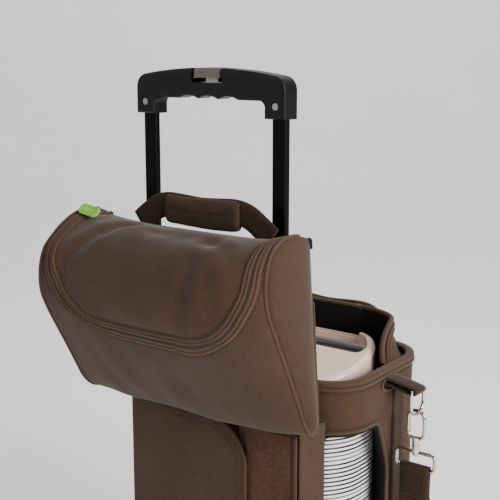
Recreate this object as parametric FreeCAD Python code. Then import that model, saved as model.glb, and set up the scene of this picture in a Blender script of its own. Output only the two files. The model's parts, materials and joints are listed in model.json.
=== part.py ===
"""A portable oxygen concentrator in its soft carrying case, on a two-wheeled trolley with a
telescopic handle and an accessory pouch.  Millimetres, +Z up, origin on the floor under the middle."""
import FreeCAD, Part
import math
import os

V = FreeCAD.Vector

# ---- driving dimensions ---------------------------------------------------------------------------
TUBE_Y = -58.3          # plane of the two telescopic tubes
TUBE_X = 85.0           # each tube stands this far from the middle
GRIP_Z = 632.0          # underside of the handle's end caps, handle up one stage
GRIP_HALF = 97.0        # half the handle's width
GRIP_DEPTH = 22.0
GRIP_TOP = GRIP_Z + 48.0
ARCH_R = 530.0          # radius of the handle's arched top
GRIP_SEAM = 68.0        # upright seams between the bar and its end caps
GRIP_LID = 10.0         # depth of the handle's cover

INNER = (17.0, 9.0, 1.2)    # tube section: width, depth, wall
MIDDLE = (20.0, 12.0, 1.1)
OUTER = (23.6, 15.6, 1.4)
OUTER_TOP = 397.0
MIDDLE_TOP = 409.0

CASE_HALF = 138.0
CASE_Y0 = TUBE_Y + 42.0     # case wall next to the tubes
CASE_Y1 = CASE_Y0 + 170.0   # case wall on the far side
CASE_Z0 = 93.0
CASE_R = 45.0
WALL = 7.5
RIM_NEAR = 358.0
RIM_FAR = 363.0
COLLAR_TOP = 405.0
COLLAR_WALL = 4.0
LINING_TOP = 343.0

UNIT_HALF = 112.0
UNIT_Y0 = CASE_Y0 + 10.0
UNIT_Y1 = UNIT_Y0 + 132.0
UNIT_Z0 = 99.0
UNIT_SPLIT = 338.0
UNIT_TOP = UNIT_Z0 + 280.0
UNIT_NEAR_TOP = 352.0
UNIT_R = 60.0
SHELL = 3.0

POUCH_HALF = 140.0
POUCH_BACK = TUBE_Y - 12.5
CLOTH = 3.0

SLEEVE_HALF = 114.0
SLEEVE_TOP = 321.0
SLEEVE_BOTTOM = 100.0

HANG_X = 173.0              # strap hardware hangs this far out
HANG_Y = CASE_Y0 + 85.0
RING_Z = 343.5
RING_BAR = 1.8
RING_LOW = RING_Z - 26.8

WHEEL_R = 45.0
AXLE_R = 5.0


# ---- helpers ---------------------------------------------------------------------------------------
def box(x0, x1, y0, y1, z0, z1):
    return Part.makeBox(x1 - x0, y1 - y0, z1 - z0, V(x0, y0, z0))


def edges_along(shape, axis):
    """Straight edges of a shape that run along one axis."""
    found = []
    for edge in shape.Edges:
        if edge.Curve.TypeId != "Part::GeomLine":
            continue
        way = edge.Vertexes[-1].Point - edge.Vertexes[0].Point
        if abs(way.normalize().dot(axis)) > 0.999:
            found.append(edge)
    return found


def plan_rounded(x0, x1, y0, y1, z0, z1, r):
    """A block whose upright edges are rounded."""
    block = box(x0, x1, y0, y1, z0, z1)
    return block.makeFillet(r, edges_along(block, V(0, 0, 1)))


def rod(centre, axis, r, length):
    return Part.makeCylinder(r, length, V(*centre), V(*axis))


def polygon(points):
    closed = [V(*p) for p in points]
    return Part.Face(Part.makePolygon(closed + closed[:1]))


def prism_x(outline, x0, x1):
    """An outline of (y, z) points, carried along X."""
    return polygon([(x0, y, z) for y, z in outline]).extrude(V(x1 - x0, 0, 0))


def prism_y(outline, y0, y1):
    """An outline of (x, z) points, carried along Y."""
    return polygon([(x, y0, z) for x, z in outline]).extrude(V(0, y1 - y0, 0))


def prism_z(outline, z0, z1):
    """An outline of (x, y) points, carried along Z."""
    return polygon([(x, y, z0) for x, y in outline]).extrude(V(0, 0, z1 - z0))


def mirrored(shape):
    return shape.mirror(V(0, 0, 0), V(1, 0, 0))


def both_sides(shape):
    return Part.makeCompound([shape, mirrored(shape)])


def arc(a, b, c):
    return Part.Arc(V(*a), V(*b), V(*c)).toShape()


def line(a, b):
    return Part.LineSegment(V(*a), V(*b)).toShape()


def bar_loop(edges, start, way, r):
    """A round bar bent along a chain of tangent edges."""
    path = Part.Wire(edges)
    section = Part.Wire([Part.Circle(V(*start), V(*way), r).toShape()])
    return path.makePipeShell([section], True, False)


def save(name, shape):
    shape.exportStep("parts/" + name + ".step")
    solids = shape.Solids
    state = "ok" if shape.isValid() and solids else "BROKEN"
    print(f"{name:20s} {len(solids)} solid(s) {shape.Volume / 1000.0:9.2f} cm3 {state}")


# ---- trolley ---------------------------------------------------------------------------------------
def tube_section(size, x, grow=0.0):
    """Outer half sizes of a tube, as a box description centred on its line."""
    half_w = size[0] / 2 + grow
    half_d = size[1] / 2 + grow
    return x - half_w, x + half_w, TUBE_Y - half_d, TUBE_Y + half_d


def flat_tube(size, x, z0, z1):
    corner = 3.0
    wall = size[2]
    outside = plan_rounded(*tube_section(size, x), z0, z1, corner)
    inside = plan_rounded(*tube_section(size, x, -wall), z0 - 1, z1 + 1, corner - wall)
    return outside.cut(inside)


def trolley_base():
    plate = plan_rounded(-126, 126, CASE_Y0 + 6, CASE_Y1 - 6, 84, CASE_Z0, 30)
    block_front = TUBE_Y - 18
    block = plan_rounded(-106, 106, block_front, CASE_Y0 + 20, 64, CASE_Z0, 8)
    base = plate.fuse(block)
    for x in (-99, 99):
        lug = prism_x([(TUBE_Y - 16, 66), (TUBE_Y - 12, 33), (TUBE_Y + 12, 33), (TUBE_Y + 30, 66)],
                      x - 7, x + 7)
        post = Part.makeCone(16, 22, 74, V(x * 0.93, CASE_Y1 - 32, 12))
        base = base.fuse(lug).fuse(post)
    for x in (-60, 0, 60):
        base = base.fuse(box(x - 2, x + 2, CASE_Y0 + 20, CASE_Y1 - 14, 72, 85))
    for x in (-TUBE_X, TUBE_X):
        base = base.cut(box(*tube_section(OUTER, x), 74, 95))
    base = base.cut(rod((-120, TUBE_Y, WHEEL_R), (1, 0, 0), AXLE_R, 240))
    return base.removeSplitter()


def wheel_axle():
    axle = rod((-137, TUBE_Y, WHEEL_R), (1, 0, 0), AXLE_R, 274)
    for x, way in ((134, 1), (-134, -1)):
        axle = axle.fuse(rod((x, TUBE_Y, WHEEL_R), (way, 0, 0), 9, 3.5))
    return axle


def wheel(side):
    inner, width = 107.0, 26.0
    tyre = rod((inner, TUBE_Y, WHEEL_R), (1, 0, 0), WHEEL_R, width)
    tyre = tyre.makeFillet(5, [e for e in tyre.Edges if e.Curve.TypeId == "Part::GeomCircle"])
    dish = rod((inner + width - 7, TUBE_Y, WHEEL_R), (1, 0, 0), WHEEL_R - 9, 20)
    hub = rod((inner, TUBE_Y, WHEEL_R), (1, 0, 0), 13, width - 0.5)
    disc = tyre.cut(dish).fuse(hub)
    spokes = 6
    for k in range(spokes):
        turn = 2 * math.pi * k / spokes
        y = TUBE_Y + 24 * math.cos(turn)
        z = WHEEL_R + 24 * math.sin(turn)
        disc = disc.cut(rod((inner - 1, y, z), (1, 0, 0), 7, width + 2))
    disc = disc.cut(rod((inner - 1, TUBE_Y, WHEEL_R), (1, 0, 0), AXLE_R + 0.06, width + 2))
    return disc if side > 0 else mirrored(disc)


def front_feet():
    foot = Part.makeCone(15, 17, 12, V(99 * 0.93, CASE_Y1 - 32, 0))
    return both_sides(foot)


def outer_tubes():
    return both_sides(flat_tube(OUTER, TUBE_X, 74, OUTER_TOP))


def tube_brace():
    """Moulded bridge that caps both outer tubes and guides the middle ones."""
    depth0, depth1 = TUBE_Y - 9.6, TUBE_Y + 12
    brace = plan_rounded(-101, 101, depth0, depth1, 383, OUTER_TOP + 4, 6)
    waist = box(-66, 66, depth0 - 1, TUBE_Y - 3, 380, OUTER_TOP + 6)
    brace = brace.cut(waist)
    for x in (-TUBE_X, TUBE_X):
        brace = brace.cut(box(*tube_section(OUTER, x), 380, OUTER_TOP))
        brace = brace.cut(box(*tube_section(MIDDLE, x, 0.4), OUTER_TOP - 1, OUTER_TOP + 6))
    return brace


def middle_tubes():
    return both_sides(flat_tube(MIDDLE, TUBE_X, 104, MIDDLE_TOP))


def middle_collars():
    z0, z1 = OUTER_TOP + 4.4, MIDDLE_TOP + 3
    collar = plan_rounded(TUBE_X - 12, TUBE_X + 12, TUBE_Y - 8, TUBE_Y + 8, z0, z1, 4)
    collar = collar.cut(box(*tube_section(MIDDLE, TUBE_X), z0 - 1, MIDDLE_TOP))
    collar = collar.cut(box(*tube_section(INNER, TUBE_X, 0.3), MIDDLE_TOP - 1, z1 + 1))
    return both_sides(collar)


def inner_tubes():
    return both_sides(flat_tube(INNER, TUBE_X, 366, GRIP_Z + 22))


# ---- handle grip -----------------------------------------------------------------------------------
def grip_outline():
    """Front outline of the whole handle: arched top, finger grooves below, two legs."""
    y = TUBE_Y - GRIP_DEPTH / 2
    arch_z = GRIP_TOP - ARCH_R
    shoulder_r = 14.0
    shoulder_x = GRIP_HALF - shoulder_r
    shoulder_z = arch_z + math.sqrt((ARCH_R - shoulder_r) ** 2 - shoulder_x ** 2)
    turn = math.atan2(shoulder_z - arch_z, shoulder_x)
    top_x, top_z = ARCH_R * math.cos(turn), arch_z + ARCH_R * math.sin(turn)
    bend_x = shoulder_x + shoulder_r * math.cos(turn / 2)
    bend_z = shoulder_z + shoulder_r * math.sin(turn / 2)
    leg = 72.0
    under = GRIP_Z + 17
    corner = 7.0
    near = corner * (1 - math.sqrt(0.5))
    groove = 26.0
    edges = [line((-leg, y, GRIP_Z), (-GRIP_HALF, y, GRIP_Z)),
             line((-GRIP_HALF, y, GRIP_Z), (-GRIP_HALF, y, shoulder_z)),
             arc((-GRIP_HALF, y, shoulder_z), (-bend_x, y, bend_z), (-top_x, y, top_z)),
             arc((-top_x, y, top_z), (0, y, GRIP_TOP), (top_x, y, top_z)),
             arc((top_x, y, top_z), (bend_x, y, bend_z), (GRIP_HALF, y, shoulder_z)),
             line((GRIP_HALF, y, shoulder_z), (GRIP_HALF, y, GRIP_Z)),
             line((GRIP_HALF, y, GRIP_Z), (leg, y, GRIP_Z)),
             line((leg, y, GRIP_Z), (leg, y, under - corner)),
             arc((leg, y, under - corner), (leg - near, y, under - near), (leg - corner, y, under)),
             line((leg - corner, y, under), (1.5 * groove, y, under))]
    for k in (1, 0, -1):
        right = (k + 0.5) * groove
        left = (k - 0.5) * groove
        edges.append(arc((right, y, under), (k * groove, y, under + 3), (left, y, under)))
    edges += [line((-1.5 * groove, y, under), (corner - leg, y, under)),
              arc((corner - leg, y, under), (near - leg, y, under - near), (-leg, y, under - corner)),
              line((-leg, y, under - corner), (-leg, y, GRIP_Z))]
    return Part.Wire(edges)


def rounded_faces(piece, r):
    """A piece of the handle with its front and back outline rounded, but not its seams."""
    front, back = TUBE_Y - GRIP_DEPTH / 2, TUBE_Y + GRIP_DEPTH / 2
    centre = V(0, 0, GRIP_TOP - ARCH_R)
    rims = []
    for edge in piece.Edges:
        bounds = edge.BoundBox
        flat = bounds.YLength < 0.01 and min(abs(bounds.YMin - front), abs(bounds.YMin - back)) < 0.01
        middle = edge.valueAt((edge.FirstParameter + edge.LastParameter) / 2)
        on_end_seam = abs(abs(middle.x) - GRIP_SEAM) < 0.5
        from_arch = math.hypot(middle.x, middle.z - centre.z)
        on_lid_seam = abs(from_arch - ARCH_R + GRIP_LID) < 0.5
        if flat and not on_end_seam and not on_lid_seam:
            rims.append(edge)
    return piece.makeFillet(r, rims)


def inside_arch(drop):
    """Everything below an arch that runs this far under the handle's top."""
    centre = V(0, TUBE_Y - 20, GRIP_TOP - ARCH_R)
    return Part.makeCylinder(ARCH_R - drop, 40, centre, V(0, 1, 0))


def grip_channel():
    """Hollow for the button's yoke and for the rods into the tubes."""
    channel = box(-TUBE_X - 5, TUBE_X + 5, TUBE_Y - 3, TUBE_Y + 3, GRIP_Z + 22, GRIP_Z + 35)
    well = box(-20, 20, TUBE_Y - 12, TUBE_Y + 4, GRIP_Z + 33, GRIP_TOP + 2)
    spring_pocket = rod((0, TUBE_Y, GRIP_Z + 21.5), (0, 0, 1), 5, 14)
    return channel.fuse(well).fuse(spring_pocket)


def grip_parts():
    """The handle's cover, its lower half and its two end caps, split along their seams."""
    block = Part.Face(grip_outline()).extrude(V(0, GRIP_DEPTH, 0))
    gap = 0.2
    y0, y1, z0, z1 = TUBE_Y - 20, TUBE_Y + 20, GRIP_Z - 2, GRIP_TOP + 4
    bar = block.common(box(gap - GRIP_SEAM, GRIP_SEAM - gap, y0, y1, z0, z1))
    ends = block.cut(box(-GRIP_SEAM, GRIP_SEAM, y0, y1, z0, z1))
    channel = grip_channel()
    upper = rounded_faces(bar.cut(inside_arch(GRIP_LID - gap)), 2.5).cut(channel)
    lower = rounded_faces(bar.common(inside_arch(GRIP_LID)), 2.5).cut(channel)
    cap = [s for s in ends.Solids if s.CenterOfMass.x > 0][0]
    cap = rounded_faces(cap, 2.5).cut(channel)
    cap = cap.cut(box(*tube_section(INNER, TUBE_X), GRIP_Z - 1, GRIP_Z + 22.1))
    cap = cap.cut(rod((TUBE_X, TUBE_Y - 12, GRIP_Z + 12), (0, 1, 0), 4.2, 3.5))
    cap = cap.cut(rod((TUBE_X, TUBE_Y - 9, GRIP_Z + 12), (0, 1, 0), 1.6, 4.4))
    return upper, lower, both_sides(cap)


def grip_screws():
    head = rod((TUBE_X, TUBE_Y - 10.2, GRIP_Z + 12), (0, 1, 0), 3.4, 1.7)
    shank = rod((TUBE_X, TUBE_Y - 8.6, GRIP_Z + 12), (0, 1, 0), 1.5, 3.9)
    slot_a = box(TUBE_X - 2.2, TUBE_X + 2.2, TUBE_Y - 11, TUBE_Y - 9.4, GRIP_Z + 11.6, GRIP_Z + 12.4)
    slot_b = box(TUBE_X - 0.4, TUBE_X + 0.4, TUBE_Y - 11, TUBE_Y - 9.4, GRIP_Z + 9.8, GRIP_Z + 14.2)
    return both_sides(head.fuse(shank).cut(slot_a).cut(slot_b))


def release_button():
    cap = box(-16.5, 16.5, TUBE_Y - 10.4, TUBE_Y + 2.5, GRIP_Z + 38, GRIP_TOP + 2)
    cap = cap.common(inside_arch(0.3))
    front_top = [e for e in cap.Edges if e.BoundBox.YMax < TUBE_Y - 10.3 and e.BoundBox.ZMin > GRIP_TOP - 2]
    return cap.makeFillet(3.0, front_top)


def push_rods():
    """Yoke under the button and one rod down each tube."""
    yoke = box(-TUBE_X - 3, TUBE_X + 3, TUBE_Y - 2, TUBE_Y + 2, GRIP_Z + 30, GRIP_Z + 33.5)
    stem = box(-8, 8, TUBE_Y - 2, TUBE_Y + 2, GRIP_Z + 33.5, GRIP_Z + 38)
    yoke = yoke.fuse(stem)
    for x in (-TUBE_X, TUBE_X):
        yoke = yoke.fuse(rod((x, TUBE_Y, 380), (0, 0, 1), 1.9, GRIP_Z + 31 - 380))
    return yoke


def button_spring():
    z0 = GRIP_Z + 21.6
    return rod((0, TUBE_Y, z0), (0, 0, 1), 4.2, 4.0).cut(rod((0, TUBE_Y, z0 - 1), (0, 0, 1), 3.2, 8))


# ---- carrying case ---------------------------------------------------------------------------------
def rim_cutter(drop=0.0):
    """Everything above the case's slanting rim."""
    near, far = RIM_NEAR - drop, RIM_FAR - drop
    outline = [(CASE_Y0 - 20, near - 1.6), (CASE_Y1 + 20, far + 1.6), (CASE_Y1 + 20, 600), (CASE_Y0 - 20, 600)]
    return prism_x(outline, -200, 200)


def case_block(grow, z0, z1):
    """The case's plan, grown or shrunk, as a solid block."""
    return plan_rounded(-CASE_HALF - grow, CASE_HALF + grow, CASE_Y0 - grow, CASE_Y1 + grow,
                        z0, z1, CASE_R + grow)


def window_prism(grow):
    """Window over the near right corner, cut square to the corner's diagonal."""
    g = grow
    outline = [(70 - g, 304 + g), (131 + g, 306 + g), (139 + g, 280), (146 + g, 250), (146 + g, 205),
               (136 + g, 170), (118, 150 - g), (84, 144 - g), (64 - g, 150 - g), (64 - g, 272)]
    diagonal = math.sqrt(0.5)
    corners = []
    for along, z in outline:
        corners.append((along * diagonal, CASE_Y0 + 14 + along * diagonal, z))
    return polygon(corners).extrude(V(110, -110, 0))


def far_window(shape):
    """The same window turned to the far left corner."""
    turned = shape.copy()
    turned.rotate(V(0, (CASE_Y0 + CASE_Y1) / 2, 0), V(0, 0, 1), 180)
    return turned


def tapered_block(grow, z0, z1):
    """Block that leans in from the case's plan towards a rounder top."""
    rings = []
    for z, half, near, far, r in ((z0, 133, CASE_Y0 + 5, CASE_Y1 - 5, 42), (z1, 117, CASE_Y0 + 21, CASE_Y1 - 14, 66)):
        slab = plan_rounded(-half - grow, half + grow, near - grow, far + grow, z, z + 1, r + grow)
        rings.append([f for f in slab.Faces if f.BoundBox.ZMax < z + 0.01][0].OuterWire)
    return Part.makeLoft(rings, True, True)


def hood_region():
    """Everything behind the hood's front edge, which rises steeply and then turns back."""
    y, low = CASE_Y1 - 79, LINING_TOP - 5
    edges = [line((0, y, low), (0, y + 2, COLLAR_TOP - 16)),
             arc((0, y + 2, COLLAR_TOP - 16), (0, y + 6.5, COLLAR_TOP - 5), (0, y + 17, COLLAR_TOP)),
             line((0, y + 17, COLLAR_TOP), (0, CASE_Y1 + 20, COLLAR_TOP)),
             line((0, CASE_Y1 + 20, COLLAR_TOP), (0, CASE_Y1 + 20, low)),
             line((0, CASE_Y1 + 20, low), (0, y, low))]
    region = Part.Face(Part.Wire(edges)).extrude(V(400, 0, 0))
    region.translate(V(-200, 0, 0))
    return region


def rear_collar():
    """Raised rear part of the case: a soft hood that leans in over the opening."""
    low, high = LINING_TOP - 3, COLLAR_TOP + 3
    hood = tapered_block(0, low, high).cut(tapered_block(-COLLAR_WALL, low - 1, high + 1))
    return hood.common(hood_region())


def case_shell():
    hold = case_block(-WALL, LINING_TOP, 420).fuse(unit_block(-1.2, UNIT_Z0 - 0.3, 420))
    tub = case_block(0, CASE_Z0, 400).cut(hold).cut(rim_cutter())
    tub = tub.cut(window_prism(0)).cut(far_window(window_prism(0)))
    return tub.fuse(rear_collar()).removeSplitter()


def case_piping():
    """Binding over the rim, and piping round both windows."""
    rim = case_block(1.2, RIM_NEAR - 14, 400).cut(case_block(-WALL - 1.2, RIM_NEAR - 20, 420))
    rim = rim.cut(rim_cutter(-1.2)).common(rim_cutter(9))
    rim = rim.cut(case_block(0.05, 300, 400).cut(case_block(-WALL - 0.05, 290, 420)).cut(rim_cutter(-0.05)))
    rim = rim.cut(tapered_block(0.1, LINING_TOP - 3, COLLAR_TOP + 3).common(hood_region()))
    skin = case_block(1.6, 130, 320).cut(case_block(0.05, 120, 330))
    edge = skin.common(window_prism(3.5)).cut(window_prism(0))
    sleeve_room = box(-SLEEVE_HALF - 0.1, SLEEVE_HALF + 0.1, CASE_Y0 - 10, CASE_Y0 - 0.1, SLEEVE_BOTTOM - 0.1, SLEEVE_TOP + 0.1)
    tab_room = both_sides(box(CASE_HALF - 10, CASE_HALF + 14, HANG_Y - 11.6, HANG_Y + 11.6, 330, 357))
    rim = rim.cut(tab_room)
    near = edge.cut(sleeve_room)
    return Part.makeCompound(rim.Solids + near.Solids + far_window(edge).Solids)


def tube_sleeve():
    """Fabric channel that wraps the outer tubes, sewn to the case."""
    back = box(-SLEEVE_HALF, SLEEVE_HALF, CASE_Y0 - 2.7, CASE_Y0 - 0.2, SLEEVE_BOTTOM, SLEEVE_TOP)
    front = TUBE_Y - 5
    for x0 in (-SLEEVE_HALF, SLEEVE_HALF - CLOTH):
        back = back.fuse(box(x0, x0 + CLOTH, front, CASE_Y0 - 0.2, SLEEVE_BOTTOM, SLEEVE_TOP))
    return back.removeSplitter()


def left_flap():
    """Flap hinged at the sleeve's left edge; its free edge stands off in front of the right flap."""
    hinge_y = TUBE_Y - 5.4
    outline = [(-113.8, hinge_y), (-114, hinge_y - 4), (-104, hinge_y - 9.5), (53, hinge_y - 14),
               (53, hinge_y - 11), (-103, hinge_y - 6.5)]
    flap = prism_z(outline, SLEEVE_BOTTOM, SLEEVE_TOP)
    top = [(-120, SLEEVE_TOP - 5), (2, SLEEVE_TOP), (32, SLEEVE_TOP - 9), (48, SLEEVE_TOP - 21),
           (54, SLEEVE_TOP - 45), (54, SLEEVE_BOTTOM - 1), (-120, SLEEVE_BOTTOM - 1)]
    return flap.common(prism_y(top, TUBE_Y - 60, TUBE_Y + 20))


def right_flap():
    y0 = TUBE_Y - 10.6
    flap = box(40, 113.8, y0, y0 + 2.4, SLEEVE_BOTTOM, SLEEVE_TOP - 2)
    root_strip = box(111, 113.8, y0, TUBE_Y - 5.4, SLEEVE_BOTTOM, SLEEVE_TOP - 2)
    return flap.fuse(root_strip).removeSplitter()


def loop_patch():
    y0 = TUBE_Y - 10.6
    return box(49, 108, y0 - 0.9, y0, SLEEVE_BOTTOM + 30, SLEEVE_TOP - 2.5)


def top_flap():
    """Padded cover of the case, open: it hangs down behind the rear wall."""
    y0 = CASE_Y1 + 1.6
    outline = [(-62, COLLAR_TOP - 6), (62, COLLAR_TOP - 6), (91, 364), (104, 342), (104, 256), (-104, 256),
               (-104, 342), (-91, 364)]
    flap = prism_y(outline, y0, y0 + 6)
    low_corners = [e for e in edges_along(flap, V(0, 1, 0)) if e.BoundBox.ZMax < 300]
    return flap.makeFillet(40, low_corners)


def ring_tab():
    """Webbing tab on the case's side, folded round the ring's bar."""
    half = 10.0
    fold_r, hole = 4.0, RING_BAR + 0.1
    outline = [(CASE_HALF + 0.2, 357), (CASE_HALF + 0.2, 353), (HANG_X - 2, RING_Z - 3.3), (HANG_X + 1, RING_Z + 3.3)]
    tab = prism_y(outline, HANG_Y - half, HANG_Y + half)
    fold = rod((HANG_X, HANG_Y - half, RING_Z), (0, 1, 0), fold_r, 2 * half)
    bore = rod((HANG_X, HANG_Y - half - 1, RING_Z), (0, 1, 0), hole, 2 * half + 2)
    return tab.fuse(fold).cut(bore)


def ring():
    """D-shaped ring that hangs in the tab's fold, square to X."""
    half, x = 13.4, HANG_X
    low = RING_LOW + half
    top_r = 3.0
    y0, y1 = HANG_Y - half, HANG_Y + half
    k = top_r * (1 - math.sqrt(0.5))
    edges = [line((x, HANG_Y, RING_Z), (x, y1 - top_r, RING_Z)),
             arc((x, y1 - top_r, RING_Z), (x, y1 - k, RING_Z - k), (x, y1, RING_Z - top_r)),
             line((x, y1, RING_Z - top_r), (x, y1, low)),
             arc((x, y1, low), (x, HANG_Y, RING_LOW), (x, y0, low)),
             line((x, y0, low), (x, y0, RING_Z - top_r)),
             arc((x, y0, RING_Z - top_r), (x, y0 + k, RING_Z - k), (x, y0 + top_r, RING_Z)),
             line((x, y0 + top_r, RING_Z), (x, HANG_Y, RING_Z))]
    return bar_loop(edges, (x, HANG_Y, RING_Z), (0, 1, 0), RING_BAR)


HOOK_BAR = 2.0
HOOK_HALF = 9.5
HOOK_TOP = RING_LOW + RING_BAR + HOOK_BAR + 0.3
HOOK_LOW = HOOK_TOP - 31.0
GATE_LOW = HOOK_LOW + 8.0
GATE_TOP = HOOK_TOP - HOOK_HALF


def snap_hook():
    """Snap hook: a barrel, an oval that is open on the case side, and the swivel pin below."""
    x, y = HANG_X, HANG_Y
    spine = x + HOOK_HALF
    arch_z = GATE_TOP
    edges = [line((x, y, HOOK_LOW), (x + 3, y, HOOK_LOW)),
             arc((x + 3, y, HOOK_LOW), (spine - 1.9, y, HOOK_LOW + 1.9), (spine, y, HOOK_LOW + 6.5)),
             line((spine, y, HOOK_LOW + 6.5), (spine, y, arch_z)),
             arc((spine, y, arch_z), (x, y, HOOK_TOP), (x - HOOK_HALF, y, arch_z))]
    curve = bar_loop(edges, (x, y, HOOK_LOW), (1, 0, 0), HOOK_BAR)
    jaw = [line((x, y, HOOK_LOW), (x - 3, y, HOOK_LOW)),
           arc((x - 3, y, HOOK_LOW), (x - HOOK_HALF + 1.9, y, HOOK_LOW + 1.9), (x - HOOK_HALF, y, GATE_LOW - 2))]
    low_jaw = bar_loop(jaw, (x, y, HOOK_LOW), (-1, 0, 0), HOOK_BAR)
    barrel = rod((x, y, HOOK_LOW - 7), (0, 0, 1), 4.2, 8)
    pin = rod((x, y, HOOK_LOW - 17.2), (0, 0, 1), 1.8, 12)
    head = rod((x, y, HOOK_LOW - 19.2), (0, 0, 1), 3.2, 2)
    return curve.fuse(low_jaw).fuse(barrel).fuse(pin).fuse(head)


def hook_gate():
    """Spring gate between the hook's jaws."""
    x = HANG_X - HOOK_HALF
    return rod((x, HANG_Y, GATE_LOW - 1.0), (0, 0, 1), 1.7, GATE_TOP - GATE_LOW + 0.7)


def strap_frame():
    """Rectangular frame under the hook; the strap end folds round its lower bar."""
    x, y, half, bar = HANG_X, HANG_Y, 23.0, 2.0
    top, low = HOOK_LOW - 12.5, HOOK_LOW - 34.0
    r = 5.0
    k = r * (1 - math.sqrt(0.5))
    side_top = top - 3
    edges = [line((x, y, low), (x + half - r, y, low)),
             arc((x + half - r, y, low), (x + half - k, y, low + k), (x + half, y, low + r)),
             line((x + half, y, low + r), (x + half, y, side_top - r)),
             arc((x + half, y, side_top - r), (x + half - k, y, side_top - k), (x + half - r, y, side_top)),
             line((x + half - r, y, side_top), (x - half + r, y, side_top)),
             arc((x - half + r, y, side_top), (x - half + k, y, side_top - k), (x - half, y, side_top - r)),
             line((x - half, y, side_top - r), (x - half, y, low + r)),
             arc((x - half, y, low + r), (x - half + k, y, low + k), (x - half + r, y, low)),
             line((x - half + r, y, low), (x, y, low))]
    frame = bar_loop(edges, (x, y, low), (1, 0, 0), bar)
    boss = rod((x, y, HOOK_LOW - 17), (0, 0, 1), 4.6, 9.6)
    bore = rod((x, y, HOOK_LOW - 20), (0, 0, 1), 1.87, 20)
    head_room = rod((x, y, HOOK_LOW - 20), (0, 0, 1), 3.35, 2.95)
    return frame.fuse(boss).cut(bore).cut(head_room)


STRAP_HALF = 19.0
STRAP_THICK = 2.4
FRAME_LOW = HOOK_LOW - 34.0
STRAP_START = FRAME_LOW - 34.0


def strap_end():
    """End of the shoulder strap, folded round the frame's lower bar and sewn to itself."""
    x0, x1 = HANG_X - 17.5, HANG_X + 17.5
    fold = rod((x0, HANG_Y, FRAME_LOW), (1, 0, 0), 4.4, x1 - x0)
    bore = rod((x0 - 1, HANG_Y, FRAME_LOW), (1, 0, 0), 2.02, x1 - x0 + 2)
    tail = box(x0, x1, HANG_Y - 2.2, HANG_Y + 2.2, STRAP_START + 1, FRAME_LOW - 2.5)
    return fold.fuse(tail).cut(bore)


STRAP_BACK_Y = CASE_Y1 + 19.4
STRAP_ROUTE = [
    # centre of the band, then the direction of its width
    ((173.0, HANG_Y, STRAP_START - 5), (1.0, 0.0, 0.0)),
    ((174.0, HANG_Y + 14, STRAP_START - 35), (0.9, 0.25, 0.30)),
    ((170.0, HANG_Y + 46, STRAP_START - 66), (0.55, 0.30, 0.62)),
    ((156.0, HANG_Y + 78, STRAP_START - 86), (0.15, 0.22, 0.90)),
    ((130.0, HANG_Y + 98, STRAP_START - 95), (-0.05, 0.06, 1.0)),
    ((96.0, STRAP_BACK_Y, STRAP_START - 98), (0.0, 0.0, 1.0)),
    ((0.0, STRAP_BACK_Y, STRAP_START - 98), (0.0, 0.0, 1.0)),
]


def strap_section(centre, width_way, travel):
    """A rectangle across the band."""
    way = V(*travel)
    way.normalize()
    across = V(*width_way)
    across = across - way * across.dot(way)
    across.normalize()
    normal = way.cross(across)
    middle = V(*centre)
    corners = []
    for a, b in ((1, 1), (-1, 1), (-1, -1), (1, -1)):
        corners.append(middle + across * (a * STRAP_HALF) + normal * (b * STRAP_THICK / 2))
    return Part.makePolygon(corners + corners[:1])


def shoulder_strap():
    """Main run of the strap: down from each frame, round the case's sides and low across its back."""
    sections = []
    last = len(STRAP_ROUTE) - 1
    for k, (centre, width_way) in enumerate(STRAP_ROUTE):
        before = V(*STRAP_ROUTE[max(k - 1, 0)][0])
        after = V(*STRAP_ROUTE[min(k + 1, last)][0])
        travel = after - before
        if k in (0, last):
            travel = V(0, 0, -1) if k == 0 else V(-1, 0, 0)
        if k == last - 1:
            travel = V(-1, 0, 0)
        sections.append(strap_section(centre, width_way, tuple(travel)))
    half = Part.makeLoft(sections, True, True)
    return half.fuse(mirrored(half)).removeSplitter()


def shoulder_pad():
    z = STRAP_START - 98
    y1 = STRAP_BACK_Y - STRAP_THICK / 2 - 0.1
    pad = box(-92, 92, y1 - 9, y1, z - 29, z + 29)
    return pad.makeFillet(18, edges_along(pad, V(0, 1, 0)))


# ---- accessory pouch -------------------------------------------------------------------------------
LID_HINGE = (TUBE_Y - 28.0, 517.0)
MOUTH_FRONT = (TUBE_Y - 99.0, 416.0)


def pouch_tub_outline():
    """Side outline of the pouch's tub below the mouth, (y, z)."""
    return [(POUCH_BACK, 517), (POUCH_BACK, 333), (POUCH_BACK - 4, 328), (TUBE_Y - 42, 328),
            (TUBE_Y - 71, 364), MOUTH_FRONT, LID_HINGE]


def pouch_hold_outline():
    """Side outline of the hollow, which runs out through the mouth, (y, z)."""
    back = POUCH_BACK - CLOTH
    return [(back, 513.5), (back, 335), (back - 3, 331), (TUBE_Y - 40.6, 331), (TUBE_Y - 68.2, 365.5),
            (MOUTH_FRONT[0] + 2.6, MOUTH_FRONT[1] + 2.9), (MOUTH_FRONT[0] - 6, MOUTH_FRONT[1] + 9),
            (LID_HINGE[0] - 10, LID_HINGE[1] + 3), (LID_HINGE[0] - 2, 513.5)]


def lid_outline(inset):
    """Side outline of the bulging lid above the mouth, (y, z)."""
    i = inset
    return [(LID_HINGE[0] - 1, LID_HINGE[1] + 1 - i), (TUBE_Y - 56, 528 - i), (TUBE_Y - 89 + i * 0.5, 515 - i),
            (TUBE_Y - 111 + i * 0.9, 495 - i * 0.5), (TUBE_Y - 116 + i, 472), (TUBE_Y - 114 + i, 442),
            (MOUTH_FRONT[0] - 2 + i, MOUTH_FRONT[1] + 3)]


def pouch_body():
    tub = prism_x(pouch_tub_outline(), -POUCH_HALF, POUCH_HALF)
    return tub.cut(prism_x(pouch_hold_outline(), -POUCH_HALF + CLOTH, POUCH_HALF - CLOTH))


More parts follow.
